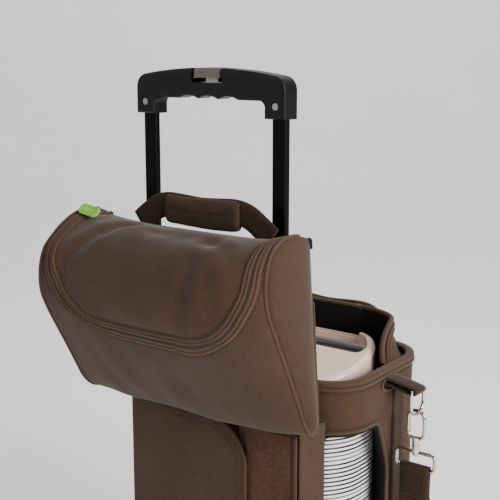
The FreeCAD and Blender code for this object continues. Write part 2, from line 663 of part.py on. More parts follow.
def pouch_lid():
    shell = prism_x(lid_outline(0), -POUCH_HALF, POUCH_HALF)
    hollow = prism_x(lid_outline(CLOTH), -POUCH_HALF + CLOTH, POUCH_HALF - CLOTH)
    hinge_y, hinge_z = LID_HINGE
    front_y, front_z = MOUTH_FRONT
    mouth = [(hinge_y - 2, hinge_z - 4), (front_y - 1, front_z + 1),
             (front_y - 2 + 5 * CLOTH, front_z + 24), (hinge_y - 14, hinge_z - 1)]
    return shell.cut(hollow).cut(prism_x(mouth, -POUCH_HALF + CLOTH, POUCH_HALF - CLOTH))


def lid_zipper():
    """Zipper tape and piping along the lid's lower edge, round three sides."""
    lift = 1.6
    grown = [(y - lift if y < TUBE_Y - 60 else y, z + (lift if z > 500 else 0)) for y, z in lid_outline(0)]
    skin = prism_x(grown, -POUCH_HALF - lift, POUCH_HALF + lift).cut(prism_x(lid_outline(-0.05), -POUCH_HALF - 0.05, POUCH_HALF + 0.05))
    hinge_y, hinge_z = LID_HINGE
    front_y, front_z = MOUTH_FRONT
    band = [(hinge_y - 14, hinge_z + 4), (hinge_y - 8, hinge_z - 8), (front_y + 2, front_z + 4),
            (front_y - 30, front_z + 4), (front_y - 30, front_z + 12), (front_y + 1, front_z + 13)]
    return skin.common(prism_x(band, -POUCH_HALF - 5, POUCH_HALF + 5))


def zipper_pull():
    y = TUBE_Y - 60
    tab = box(-133, -100, y - 6, y + 6, 529.4, 531.8)
    return tab.makeFillet(5, edges_along(tab, V(0, 0, 1)))


def pouch_straps():
    """Webbing loops on the pouch's back, closed round the outer tubes."""
    loop = box(TUBE_X - 14.2, TUBE_X + 14.2, POUCH_BACK + 0.1, TUBE_Y + 10.2, 345, 370)
    hole = box(*tube_section(OUTER, TUBE_X, 0.2), 340, 380)
    return both_sides(loop.cut(hole))


HANDLE_Y = TUBE_Y - 18.0


def pouch_handle():
    """Webbing of the carry handle: two slanting legs and the run between them."""
    foot, wrap_end = 518.5, 49.0
    leg = [(100, foot), (63, foot), (wrap_end, foot + 8), (wrap_end, foot + 30), (68, foot + 27)]
    right = prism_y(leg, HANDLE_Y - 1.3, HANDLE_Y + 1.3)
    run = box(-wrap_end, wrap_end, HANDLE_Y - 1.3, HANDLE_Y + 1.3, foot + 8, foot + 30)
    return right.fuse(mirrored(right)).fuse(run).removeSplitter()


def handle_wrap():
    """Padded grip sleeve, open along the webbing that runs through it."""
    wrap = box(-49, 49, HANDLE_Y - 5.4, HANDLE_Y + 5.4, 519.6, 552)
    wrap = wrap.makeFillet(4.5, edges_along(wrap, V(1, 0, 0)))
    return wrap.cut(box(-50, 50, HANDLE_Y - 1.35, HANDLE_Y + 1.35, 526.4, 548.6))


# ---- oxygen concentrator ---------------------------------------------------------------------------
def unit_block(inset, z0, z1):
    return plan_rounded(-UNIT_HALF + inset, UNIT_HALF - inset, UNIT_Y0 + inset, UNIT_Y1 - inset,
                        z0, z1, UNIT_R - inset)


def above_slope(drop):
    """Everything above the unit's sloping near top."""
    outline = [(UNIT_Y0 - 20, UNIT_NEAR_TOP - 7 - drop), (UNIT_Y0 + 112, UNIT_TOP - drop),
               (UNIT_Y1 + 20, UNIT_TOP - drop), (UNIT_Y1 + 20, 600), (UNIT_Y0 - 20, 600)]
    return prism_x(outline, -200, 200)


GRILLE_Z = (140.0, 310.0)


def grille_prism(grow):
    """Louvred panel over the unit's near right corner."""
    g = grow
    outline = [(58 - g, GRILLE_Z[0] - g), (146 + g, GRILLE_Z[0] - g), (146 + g, GRILLE_Z[1] + g), (58 - g, GRILLE_Z[1] + g)]
    diagonal = math.sqrt(0.5)
    corners = []
    for along, z in outline:
        corners.append((along * diagonal, CASE_Y0 + 14 + along * diagonal, z))
    return polygon(corners).extrude(V(110, -110, 0))


def exhaust_slots():
    """Exhaust slots over the far left corner."""
    slots = []
    for k in range(16):
        z = 150 + 9.0 * k
        slots.append(box(-140, -84, UNIT_Y1 - 44, UNIT_Y1 + 10, z, z + 4))
    return slots


def unit_shell():
    shell = unit_block(0, UNIT_Z0, UNIT_SPLIT).cut(unit_block(SHELL, UNIT_Z0 + SHELL, UNIT_SPLIT + 9))
    low = [e for e in shell.Edges if e.BoundBox.ZMax < UNIT_Z0 + 0.01]
    shell = shell.makeFillet(2.5, low)
    shell = shell.cut(grille_prism(0.1))
    for slot in exhaust_slots():
        shell = shell.cut(slot)
    return shell


def intake_grille():
    """Curved louvre panel: fins on a thin back, set in the shell's corner."""
    panel = unit_block(0, UNIT_Z0, UNIT_SPLIT).cut(unit_block(SHELL, UNIT_Z0 - 5, UNIT_SPLIT + 9))
    panel = panel.common(grille_prism(0))
    pitch, slot = 4.8, 2.3
    count = int((GRILLE_Z[1] - GRILLE_Z[0] - 8) / pitch)
    ring_out = unit_block(-1, 0, slot)
    ring_in = unit_block(SHELL - 0.8, -1, slot + 1)
    groove = ring_out.cut(ring_in)
    grooves = []
    for k in range(count):
        cut = groove.copy()
        cut.translate(V(0, 0, GRILLE_Z[0] + 5 + k * pitch))
        grooves.append(cut)
    margin = grille_prism(-3)
    return panel.cut(Part.makeCompound(grooves).common(margin))


BAR_Y = UNIT_Y0 + 90.0
BAR_Z = 368.2
BAR_R = 6.8
POCKET_HALF = 99.0


def top_cover():
    outside = unit_block(0, UNIT_SPLIT + 0.2, UNIT_TOP + 5).cut(above_slope(0))
    crown = [e for e in outside.Edges if e.BoundBox.ZMin > UNIT_NEAR_TOP - 8]
    outside = outside.makeFillet(6.0, crown)
    inside = unit_block(SHELL, UNIT_SPLIT - 5, UNIT_TOP + 5).cut(above_slope(SHELL))
    cover = outside.cut(inside)
    y0, y1, floor = BAR_Y - 14, BAR_Y + 30, 347.0
    walls = box(-POCKET_HALF - SHELL, POCKET_HALF + SHELL, y0 - SHELL, y1 + SHELL, floor - SHELL, 400)
    cover = cover.fuse(walls.common(outside).common(unit_block(6, 300, 430)))
    pocket = plan_rounded(-POCKET_HALF, POCKET_HALF, y0, y1, floor, 420, 8)
    cover = cover.cut(pocket.common(unit_block(9, 300, 430)))
    cover = cover.cut(box(-72, 72, y1 - 1, UNIT_Y1 + 5, 372, 420))
    cover = cover.cut(panel_block(0.1, 420))
    cover = cover.cut(rod((*NOZZLE_XY, 355), (0, 0, 1), 6.1, 60)).cut(rod((*INLET_XY, 355), (0, 0, 1), 6.6, 60))
    cover = cover.cut(rod((-POCKET_HALF - 0.1, BAR_Y, BAR_Z), (1, 0, 0), BAR_R + 0.05, 2 * POCKET_HALF + 0.2))
    return cover.removeSplitter()


def carry_bar():
    return rod((-POCKET_HALF, BAR_Y, BAR_Z), (1, 0, 0), BAR_R, 2 * POCKET_HALF)


PANEL_X = (-84.0, 4.0)
PANEL_Y = (UNIT_Y0 + 16.0, UNIT_Y0 + 52.0)
SLOPE = (UNIT_TOP - UNIT_NEAR_TOP + 7) / 132.0


def slope_z(y):
    """Height of the sloping top at a given depth."""
    return UNIT_NEAR_TOP - 7 + (y - UNIT_Y0 + 20) * SLOPE


def panel_block(grow, z1):
    return box(PANEL_X[0] - grow, PANEL_X[1] + grow, PANEL_Y[0] - grow, PANEL_Y[1] + grow, 330, z1)


def button_at(x, r, grow, down=5):
    y = (PANEL_Y[0] + PANEL_Y[1]) / 2
    return rod((x, y, slope_z(y) - down), (0, 0, 1), r + grow, down + 7)


POWER_X, FLOW_X = -71.0, -10.0


def control_panel():
    """Panel with the display window, set into the sloping top."""
    panel = panel_block(0, 420).cut(above_slope(0)).common(above_slope(4))
    for x in (POWER_X, FLOW_X):
        panel = panel.cut(button_at(x, 7, 0.3, 12))
    return panel


def panel_button(x):
    return button_at(x, 7, 0).cut(above_slope(-1.6))


NOZZLE_XY = (-70.0, UNIT_Y0 + 64.0)
INLET_XY = (-40.0, UNIT_Y0 + 64.0)
PORT_Z = slope_z(UNIT_Y0 + 64.0)


def cannula_nozzle():
    """Oxygen outlet: a plain spigot on a round base."""
    x, y = NOZZLE_XY
    base = rod((x, y, PORT_Z - 7), (0, 0, 1), 6, 9)
    stem = rod((x, y, PORT_Z + 1.5), (0, 0, 1), 2.5, 9.5)
    tip = Part.makeCone(2.5, 1.9, 1.2, V(x, y, PORT_Z + 11))
    return base.fuse(stem).fuse(tip).cut(rod((x, y, PORT_Z - 8), (0, 0, 1), 1.3, 22)).removeSplitter()


def power_inlet():
    """Round socket for the mains or car adapter."""
    x, y = INLET_XY
    body = rod((x, y, PORT_Z - 14), (0, 0, 1), 6.5, 15.4)
    return body.cut(rod((x, y, PORT_Z - 7.6), (0, 0, 1), 2.75, 9.5))


def battery():
    pack = plan_rounded(-80, 80, UNIT_Y0 + 15, UNIT_Y1 - 15, UNIT_Z0 + SHELL, UNIT_Z0 + 44, 6)
    return pack


MOTOR_Y = UNIT_Y0 + 60.0
MOTOR_Z = 196.0


def compressor():
    """Motor, crankcase and two opposed heads, with the fan's shaft at one end."""
    motor = rod((-36, MOTOR_Y, MOTOR_Z), (1, 0, 0), 30, 62)
    crankcase = box(-80, -36, MOTOR_Y - 24, MOTOR_Y + 24, MOTOR_Z - 32, MOTOR_Z + 32)
    heads = rod((-58, MOTOR_Y - 48, MOTOR_Z), (0, 1, 0), 20, 96)
    shaft = rod((26, MOTOR_Y, MOTOR_Z), (1, 0, 0), 3, 22)
    feet = box(-76, 20, MOTOR_Y - 20, MOTOR_Y + 20, UNIT_Z0 + 44.2, MOTOR_Z - 20)
    return motor.fuse(crankcase).fuse(heads).fuse(shaft).fuse(feet).removeSplitter()


def fan():
    """Cooling fan on the motor's shaft."""
    x0, width = 34.0, 12.0
    rotor = rod((x0, MOTOR_Y, MOTOR_Z), (1, 0, 0), 11, width)
    for k in range(7):
        blade = box(x0 + 1, x0 + width - 1, MOTOR_Y - 1, MOTOR_Y + 1, MOTOR_Z + 9, MOTOR_Z + 33)
        blade.rotate(V(x0 + 6, MOTOR_Y, MOTOR_Z + 20), V(0, 0, 1), 35)
        blade.rotate(V(x0, MOTOR_Y, MOTOR_Z), V(1, 0, 0), 360.0 / 7 * k)
        rotor = rotor.fuse(blade)
    return rotor.cut(rod((x0 - 1, MOTOR_Y, MOTOR_Z), (1, 0, 0), 3.05, width + 2))


def sieve_beds():
    """Two molecular sieve canisters, side by side."""
    beds = []
    for y in (UNIT_Y0 + 46, UNIT_Y0 + 88):
        beds.append(rod((74, y, UNIT_Z0 + 46), (0, 0, 1), 20, 150))
    return Part.makeCompound(beds)


def valve_block():
    block = box(56, 92, UNIT_Y0 + 36, UNIT_Y0 + 98, UNIT_Z0 + 196.2, UNIT_Z0 + 218)
    for y in (UNIT_Y0 + 46, UNIT_Y0 + 67, UNIT_Y0 + 88):
        block = block.fuse(rod((74, y, UNIT_Z0 + 218), (0, 0, 1), 8, 12))
    return block


def circuit_board():
    board = box(-72, 50, UNIT_Y1 - 14, UNIT_Y1 - 12.4, 150, 290)
    for x, z in ((-68, 180), (-30, 240), (20, 190)):
        board = board.fuse(box(x, x + 22, UNIT_Y1 - 20, UNIT_Y1 - 14, z, z + 22))
    return board.removeSplitter()


def intake_filter():
    """Foam filter just behind the louvres."""
    pad = unit_block(SHELL + 0.3, 160, 290).cut(unit_block(SHELL + 5.3, 150, 300))
    return pad.common(grille_prism(-12))


# ---- write every piece -----------------------------------------------------------------------------
def main():
    os.makedirs("parts", exist_ok=True)
    upper, lower, caps = grip_parts()
    pieces = {
        "trolley_base": trolley_base(),
        "wheel_axle": wheel_axle(),
        "wheel_right": wheel(1),
        "wheel_left": wheel(-1),
        "front_feet": front_feet(),
        "outer_tubes": outer_tubes(),
        "tube_brace": tube_brace(),
        "middle_tubes": middle_tubes(),
        "middle_collars": middle_collars(),
        "inner_tubes": inner_tubes(),
        "grip_upper": upper,
        "grip_lower": lower,
        "grip_end_caps": caps,
        "grip_screws": grip_screws(),
        "release_button": release_button(),
        "push_rods": push_rods(),
        "button_spring": button_spring(),
        "case_shell": case_shell(),
        "case_piping": case_piping(),
        "tube_sleeve": tube_sleeve(),
        "left_flap": left_flap(),
        "right_flap": right_flap(),
        "loop_patch": loop_patch(),
        "top_flap": top_flap(),
        "ring_tabs": both_sides(ring_tab()),
        "shoulder_strap": shoulder_strap(),
        "shoulder_pad": shoulder_pad(),
        "pouch_body": pouch_body(),
        "pouch_lid": pouch_lid(),
        "lid_zipper": lid_zipper(),
        "zipper_pull": zipper_pull(),
        "pouch_straps": pouch_straps(),
        "pouch_handle": pouch_handle(),
        "handle_wrap": handle_wrap(),
        "unit_shell": unit_shell(),
        "intake_grille": intake_grille(),
        "unit_top_cover": top_cover(),
        "carry_bar": carry_bar(),
        "control_panel": control_panel(),
        "power_button": panel_button(POWER_X),
        "flow_button": panel_button(FLOW_X),
        "cannula_nozzle": cannula_nozzle(),
        "power_inlet": power_inlet(),
        "battery": battery(),
        "compressor": compressor(),
        "fan": fan(),
        "sieve_beds": sieve_beds(),
        "valve_block": valve_block(),
        "circuit_board": circuit_board(),
        "intake_filter": intake_filter(),
    }
    hanging = {
        "strap_ring": ring(),
        "snap_hook": snap_hook(),
        "hook_gate": hook_gate(),
        "strap_frame": strap_frame(),
        "strap_end": strap_end(),
    }
    for name, shape in hanging.items():
        pieces[name + "_right"] = shape
        pieces[name + "_left"] = mirrored(shape)
    for name, shape in pieces.items():
        save(name, shape)
    print(len(pieces), "nodes")


main()
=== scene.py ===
import bmesh
import bpy
import json
import math
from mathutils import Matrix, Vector, noise


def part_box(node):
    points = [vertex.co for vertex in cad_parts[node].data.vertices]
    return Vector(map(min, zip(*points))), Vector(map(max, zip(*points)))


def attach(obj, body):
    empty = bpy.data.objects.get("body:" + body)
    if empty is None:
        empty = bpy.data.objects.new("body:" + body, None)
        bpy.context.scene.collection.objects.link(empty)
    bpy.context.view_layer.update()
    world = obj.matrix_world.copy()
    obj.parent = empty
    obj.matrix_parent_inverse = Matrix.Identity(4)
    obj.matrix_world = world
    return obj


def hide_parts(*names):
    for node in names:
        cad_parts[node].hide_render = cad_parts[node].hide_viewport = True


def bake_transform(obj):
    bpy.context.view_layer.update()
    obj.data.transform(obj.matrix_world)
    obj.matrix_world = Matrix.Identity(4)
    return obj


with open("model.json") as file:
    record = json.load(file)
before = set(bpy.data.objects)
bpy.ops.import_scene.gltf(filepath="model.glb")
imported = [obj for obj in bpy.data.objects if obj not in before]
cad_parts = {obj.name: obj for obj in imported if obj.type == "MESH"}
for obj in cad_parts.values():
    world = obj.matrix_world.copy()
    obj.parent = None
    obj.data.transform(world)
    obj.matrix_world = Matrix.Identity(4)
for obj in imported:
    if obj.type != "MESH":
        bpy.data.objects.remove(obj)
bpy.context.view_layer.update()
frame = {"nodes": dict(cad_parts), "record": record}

MM = 0.001
tube_low, tube_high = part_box("outer_tubes")
TUBE_Y = (tube_low.y + tube_high.y) / 2 / MM
scene = bpy.context.scene


# ---- materials -------------------------------------------------------------------------------------
def material(name, rough, metal=0.0):
    mat = bpy.data.materials.new(name)
    mat.use_nodes = True
    shader = mat.node_tree.nodes["Principled BSDF"]
    shader.inputs["Roughness"].default_value = rough
    shader.inputs["Metallic"].default_value = metal
    return mat, mat.node_tree, shader


def add(tree, kind, **values):
    """A node, with the given input values."""
    node = tree.nodes.new(kind)
    for key, value in values.items():
        node.inputs[key].default_value = value
    return node


def coordinates(tree, stretch=(1, 1, 1)):
    coord = tree.nodes.new("ShaderNodeTexCoord")
    mapping = tree.nodes.new("ShaderNodeMapping")
    mapping.inputs["Scale"].default_value = stretch
    tree.links.new(coord.outputs["Object"], mapping.inputs["Vector"])
    return mapping.outputs["Vector"]


def noise_node(tree, where, scale, detail=2.0):
    node = add(tree, "ShaderNodeTexNoise", Scale=scale, Detail=detail)
    tree.links.new(where, node.inputs["Vector"])
    return node.outputs[0]


def wave_node(tree, where, direction, scale):
    node = add(tree, "ShaderNodeTexWave", Scale=scale, Distortion=0.6)
    node.bands_direction = direction
    tree.links.new(where, node.inputs["Vector"])
    return node.outputs[1]


def math_node(tree, kind, value, number):
    node = tree.nodes.new("ShaderNodeMath")
    node.operation = kind
    node.inputs[1].default_value = number
    tree.links.new(value, node.inputs[0])
    return node


def mixed(tree, a, b, share):
    """a * (1 - share) + b * share, for two single values."""
    first = math_node(tree, "MULTIPLY", a, 1 - share)
    second = math_node(tree, "MULTIPLY_ADD", b, share)
    tree.links.new(first.outputs[0], second.inputs[2])
    return second.outputs[0]


def ramp(tree, value, shader, low, high, start=0.35, end=0.65):
    """Base colour between low and high."""
    node = tree.nodes.new("ShaderNodeValToRGB")
    node.color_ramp.elements[0].position = start
    node.color_ramp.elements[0].color = (*low, 1)
    node.color_ramp.elements[1].position = end
    node.color_ramp.elements[1].color = (*high, 1)
    tree.links.new(value, node.inputs[0])
    tree.links.new(node.outputs[0], shader.inputs["Base Color"])


def bump(tree, height, shader, strength, distance):
    node = add(tree, "ShaderNodeBump", Strength=strength, Distance=distance)
    tree.links.new(height, node.inputs["Height"])
    tree.links.new(node.outputs[0], shader.inputs["Normal"])


def shade(colour, k):
    return tuple(min(c * k, 1.0) for c in colour)


def fabric(name, colour, spread=0.22, weave=340, sheen=0.10, rough=0.9, strength=0.6):
    mat, tree, shader = material(name, rough)
    shader.inputs["Sheen Weight"].default_value = sheen
    shader.inputs["Sheen Roughness"].default_value = 0.45
    shader.inputs["Specular IOR Level"].default_value = 0.14
    where = coordinates(tree)
    clouds = mixed(tree, noise_node(tree, where, 16, 3), noise_node(tree, where, 620, 1), 0.6)
    ramp(tree, clouds, shader, shade(colour, 1 - spread), shade(colour, 1 + spread))
    threads = mixed(tree, wave_node(tree, where, "X", weave), wave_node(tree, where, "Z", weave), 0.5)
    bump(tree, mixed(tree, threads, noise_node(tree, where, 700, 2), 0.6), shader, strength, 0.0006)
    return mat


def plastic(name, colour, rough, grain=700, strength=0.12, coat=0.0, spread=0.08, gloss=0.5):
    mat, tree, shader = material(name, rough)
    shader.inputs["Specular IOR Level"].default_value = gloss
    shader.inputs["Coat Weight"].default_value = coat
    shader.inputs["Coat Roughness"].default_value = 0.12
    where = coordinates(tree)
    ramp(tree, noise_node(tree, where, 22, 3), shader, shade(colour, 1 - spread), shade(colour, 1 + spread))
    bump(tree, noise_node(tree, where, grain, 2), shader, strength, 0.0002)
    return mat


def metal(name, colour, rough, stretch=(1, 1, 12), strength=0.08):
    mat, tree, shader = material(name, rough, 1.0)
    where = coordinates(tree, stretch)
    ramp(tree, noise_node(tree, where, 120, 3), shader, shade(colour, 0.88), shade(colour, 1.08))
    bump(tree, noise_node(tree, where, 500, 2), shader, strength, 0.0001)
    return mat


BROWN = (0.053, 0.0305, 0.0195)
MATS = {
    "case_fabric": fabric("case_cloth", BROWN),
    "case_binding": fabric("binding_tape", shade(BROWN, 1.25), weave=520, sheen=0.14),
    "pouch_fabric": fabric("pouch_cloth", shade(BROWN, 0.95), sheen=0.14),
    "webbing": fabric("webbing_tape", shade(BROWN, 0.72), weave=260, sheen=0.14, strength=0.6),
    "hook_loop": fabric("loop_pile", (0.066, 0.031, 0.018), spread=0.4, weave=90, sheen=0.14, strength=1.0),
    "lining": fabric("black_lining", (0.010, 0.009, 0.008), spread=0.3, sheen=0.05, rough=0.95),
    "thread": fabric("sewing_thread", shade(BROWN, 0.62), weave=900),
    "trolley": plastic("trolley_plastic", (0.030, 0.030, 0.032), 0.5, strength=0.2),
    "grip_plastic": plastic("grip_black", (0.005, 0.005, 0.0054), 0.42, strength=0.1, gloss=0.2),
    "tube_metal": metal("tube_black", (0.010, 0.0095, 0.0095), 0.42),
    "steel": metal("plain_steel", (0.52, 0.52, 0.53), 0.32),
    "chrome": metal("nickel_plate", (0.60, 0.52, 0.47), 0.16, strength=0.04),
    "rubber": plastic("rubber_black", (0.020, 0.020, 0.020), 0.8, strength=0.3),
    "button_grey": plastic("button_grey_brown", (0.105, 0.082, 0.068), 0.45),
    "zip_pull_green": plastic("pull_green", (0.22, 0.50, 0.055), 0.42, strength=0.1),
    # pale housing with a warm pink tint: its own pale colour plus a painted reflection of the brown cloth
    "unit_plastic": plastic("housing_plastic_painted_reflection", (0.80, 0.60, 0.51), 0.24, strength=0.02, coat=0.5,
                            spread=0.02),
    "bar_silver": metal("bar_silver_grey", (0.26, 0.255, 0.26), 0.34, strength=0.3),
    "panel_dark": plastic("panel_black", (0.020, 0.022, 0.025), 0.18, strength=0.02, coat=0.6),
    "button_blue": plastic("button_blue_soft", (0.10, 0.21, 0.36), 0.4),
    "brass": metal("brass_plain", (0.62, 0.43, 0.17), 0.3),
    "battery_case": plastic("battery_black", (0.030, 0.030, 0.034), 0.45),
    "motor_metal": metal("motor_cast", (0.50, 0.50, 0.51), 0.5, (1, 1, 1), 0.3),
    "canister": metal("canister_drawn", (0.62, 0.62, 0.63), 0.3),
    "board_green": plastic("board_green_mask", (0.012, 0.12, 0.05), 0.4),
    "filter_foam": plastic("foam_grey", (0.05, 0.05, 0.055), 0.95, 300, 1.0),
}


# pitch and start of the stripes of painted shade between the louvre's fins
LOUVRE_PITCH, LOUVRE_START = 0.0048, 0.145


def louvre_material():
    """White fins, with painted shade for the slots between them."""
    mat, tree, shader = material("louvre_white", 0.3)
    shader.inputs["Coat Weight"].default_value = 0.3
    where = coordinates(tree)
    parts = tree.nodes.new("ShaderNodeSeparateXYZ")
    tree.links.new(where, parts.inputs[0])
    shift = math_node(tree, "ADD", parts.outputs[2], -LOUVRE_START)
    cell = math_node(tree, "FLOORED_MODULO", shift.outputs[0], LOUVRE_PITCH)
    slot_share = math_node(tree, "MULTIPLY", cell.outputs[0], 1 / LOUVRE_PITCH)
    # the slots are painted near black: painted shade in the gaps between the fins
    slot_shade_colour, fin_colour = (0.035, 0.033, 0.033), (0.92, 0.90, 0.91)
    ramp(tree, slot_share.outputs[0], shader, slot_shade_colour, fin_colour, 0.44, 0.50)
    bump(tree, noise_node(tree, where, 300, 1), shader, 0.03, 0.0002)
    return mat


MATS["louvre_white"] = louvre_material()


# ---- mesh helpers ----------------------------------------------------------------------------------
def at(x, y, z):
    """Millimetres, with y counted from the plane of the handle's tubes."""
    return Vector((x, y + TUBE_Y, z)) * MM


def link(name, mesh, mats):
    obj = bpy.data.objects.new(name, mesh)
    scene.collection.objects.link(obj)
    for mat in mats:
        obj.data.materials.append(mat)
    for face in mesh.polygons:
        face.use_smooth = True
    return obj


def settle(obj, body, slot, *nodes):
    """Ties a piece to its body and hides the CAD nodes it stands for; slot is not used."""
    if body:
        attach(obj, body)
    if nodes:
        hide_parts(*nodes)
    return obj


def make(name, verts, faces, mats, centre=None):
    """Mesh object; with a centre given, its faces look away from that point."""
    mesh = bpy.data.meshes.new(name)
    mesh.from_pydata([tuple(v) for v in verts], [], faces)
    shape = bmesh.new()
    shape.from_mesh(mesh)
    bmesh.ops.remove_doubles(shape, verts=shape.verts, dist=0.00002)
    bmesh.ops.recalc_face_normals(shape, faces=shape.faces)
    if centre is not None:
        facing = sum(f.normal.dot(f.calc_center_median() - centre) * f.calc_area() for f in shape.faces)
        if facing < 0:
            bmesh.ops.reverse_faces(shape, faces=shape.faces)
    shape.to_mesh(mesh)
    shape.free()
    return link(name, mesh, mats)


def grid(rows, wrap_rows=False, wrap_columns=False, start=0):
    """Quads over rows of equally many points."""
    n, m = len(rows), len(rows[0])
    faces = []
    for i in range(n if wrap_rows else n - 1):
        for j in range(m if wrap_columns else m - 1):
            a, b = i * m + j, i * m + (j + 1) % m
            c, d = ((i + 1) % n) * m + (j + 1) % m, ((i + 1) % n) * m + j
            faces.append([start + k for k in (a, b, c, d)])
    return faces


def flat(rows):
    return [p for row in rows for p in row]


def capped(rows):
    """Faces of a tube with both of its ends closed."""
    m = len(rows[0])
    return grid(rows, False, True) + [list(range(m)), [(len(rows) - 1) * m + k for k in range(m)]]


def step_angle(k, n):
    """Angle of step k out of n round a circle."""
    return 2 * math.pi * k / n


def squarish(value, power):
    """Power that keeps the sign: turns a circle's sine and cosine into a rounded box's."""
    return math.copysign(abs(value) ** power, value)


def solid(obj, thick, offset=-1.0):
    mod = obj.modifiers.new("thickness", "SOLIDIFY")
    mod.thickness = thick * MM
    mod.offset = offset
    return obj


def spline(points, s, closed=False):
    """Catmull-Rom value of a list of tuples at the running index s."""
    n = len(points)
    i = int(math.floor(s))
    t = s - i
    if not closed:
        i = min(max(i, 0), n - 2)
        t = s - i

    def get(k):
        return points[k % n] if closed else points[min(max(k, 0), n - 1)]
    p0, p1, p2, p3 = get(i - 1), get(i), get(i + 1), get(i + 2)
    out = []
    for a, b, c, d in zip(p0, p1, p2, p3):
        out.append(0.5 * (2 * b + (c - a) * t + (2 * a - 5 * b + 4 * c - d) * t * t
                          + (3 * b - a - 3 * c + d) * t ** 3))
    return tuple(out)


def smooth_path(points, step, closed=False):
    """Evenly spaced points along a Catmull-Rom curve through the given ones."""
    n = len(points) if closed else len(points) - 1
    fine = [spline(points, k / 12, closed) for k in range(12 * n)]
    fine.append(spline(points, 0 if closed else n, closed))
    total = [0.0]
    for a, b in zip(fine, fine[1:]):
        total.append(total[-1] + math.dist(a, b))
    count = max(int(round(total[-1] / step)), 2)
    out, k = [], 0
    for i in range(count + (0 if closed else 1)):
        want = total[-1] * i / count
        while k < len(total) - 2 and total[k + 1] < want:
            k += 1
        share = (want - total[k]) / max(total[k + 1] - total[k], 1e-9)
        out.append(tuple(a + (b - a) * share for a, b in zip(fine[k], fine[k + 1])))
    return out


def frames(path, closed):
    """Tangents along a list of vectors."""
    n = len(path)
    out = []
    for i in range(n):
        a = path[(i - 1) % n] if closed else path[max(i - 1, 0)]
        b = path[(i + 1) % n] if closed else path[min(i + 1, n - 1)]
        out.append((b - a).normalized())
    return out


def tube(name, path, r, mat, closed=False, sides=10):
    """Round piping of radius r mm along a list of vectors in metres."""
    tangents = frames(path, closed)
    up = Vector((0, 0, 1)) if abs(tangents[0].z) < 0.8 else Vector((0, 1, 0))
    rows = []
    for p, t in zip(path, tangents):
        side = t.cross(up).normalized()
        up = side.cross(t).normalized()
        ring = []
        for k in range(sides):
            a = step_angle(k, sides)
            ring.append(p + (side * math.cos(a) + up * math.sin(a)) * (r * MM))
        rows.append(ring)
    faces = grid(rows, closed, True)
    verts = flat(rows)
    if not closed:
        for row, base in ((0, 0), (-1, (len(rows) - 1) * sides)):
            verts.append(path[row].copy())
            faces += [[base + k, base + (k + 1) % sides, len(verts) - 1] for k in range(sides)]
    return make(name, verts, faces, [mat])


RIBBON_SECTION = ((-1, -0.2), (-0.96, -1), (-0.5, -1.05), (0, -1.05), (0.5, -1.05), (0.96, -1), (1, -0.2),
                  (1, 0.2), (0.96, 1), (0.5, 1.05), (0, 1.05), (-0.5, 1.05), (-0.96, 1), (-1, 0.2))


def ribbon(name, path, across, width, thick, mat, rib=2.2, closed=False, depth=0.28):
    """Webbing with ribs across it. path (in metres) and across are lists of vectors."""
    tangents = frames(path, closed)
    rows = []
    run = 0.0
    for i, (p, t, w) in enumerate(zip(path, tangents, across)):
        if i:
            run += (p - path[i - 1]).length / MM
        w = (w - t * w.dot(t)).normalized()
        n = t.cross(w).normalized()
        half = thick / 2 - depth + depth * abs(math.sin(math.pi * run / rib)) * 2
        ring = []
        for a, b in RIBBON_SECTION:
            ring.append(p + w * (a * width / 2 * MM) + n * (b * half * MM))
        rows.append(ring)
    return make(name, flat(rows), grid(rows, True, True) if closed else capped(rows), [mat])


STITCH, STITCH_GAP, STITCH_LIFT, STITCH_R = 3.0, 1.7, 0.25, 0.38


def stitches(name, path, normal, body, closed=False):
    """Thread lying on a surface: one small spindle a stitch. normal is one vector or a list."""
    dash, r = STITCH, STITCH_R
    verts, faces = [], []
    run, nextone = 0.0, 0.0
    n = len(path)
    for i in range(n if closed else n - 1):
        a, b = path[i], path[(i + 1) % n]
        w = (normal[i] if isinstance(normal, list) else normal).normalized()
        length = (b - a).length / MM
        if length < 1e-6:
            continue
        t = (b - a).normalized()
        side = t.cross(w).normalized()
        while nextone <= run + length:
            c = a + t * ((nextone - run) * MM) + w * (STITCH_LIFT * MM)
            k = len(verts)
            for along, s, h in (
                    (-dash / 2, 0, -0.3), (-dash / 4, r, 0), (-dash / 4, 0, r), (-dash / 4, -r, 0),
                    (dash / 4, r, 0), (dash / 4, 0, r), (dash / 4, -r, 0), (dash / 2, 0, -0.3)):
                verts.append(c + (t * along + side * s + w * h) * MM)
            faces += [[k + q for q in f] for f in ((0, 1, 2), (0, 2, 3), (0, 3, 1), (1, 4, 5, 2),
                                                   (2, 5, 6, 3), (3, 6, 4, 1), (7, 5, 4), (7, 6, 5),
                                                   (7, 4, 6))]
            nextone += dash + STITCH_GAP
        run += length
    mesh = bpy.data.meshes.new(name)
    mesh.from_pydata([tuple(v) for v in verts], [], faces)
    mesh.update()
    settle(link(name, mesh, [MATS["thread"]]), body, "webbing")


def piping(name, path, r, closed=False, body="base", mat="case_binding", slot="case_binding"):
    """Round piping that rides on a body."""
    settle(tube(name, path, r, MATS[mat], closed), body, slot)


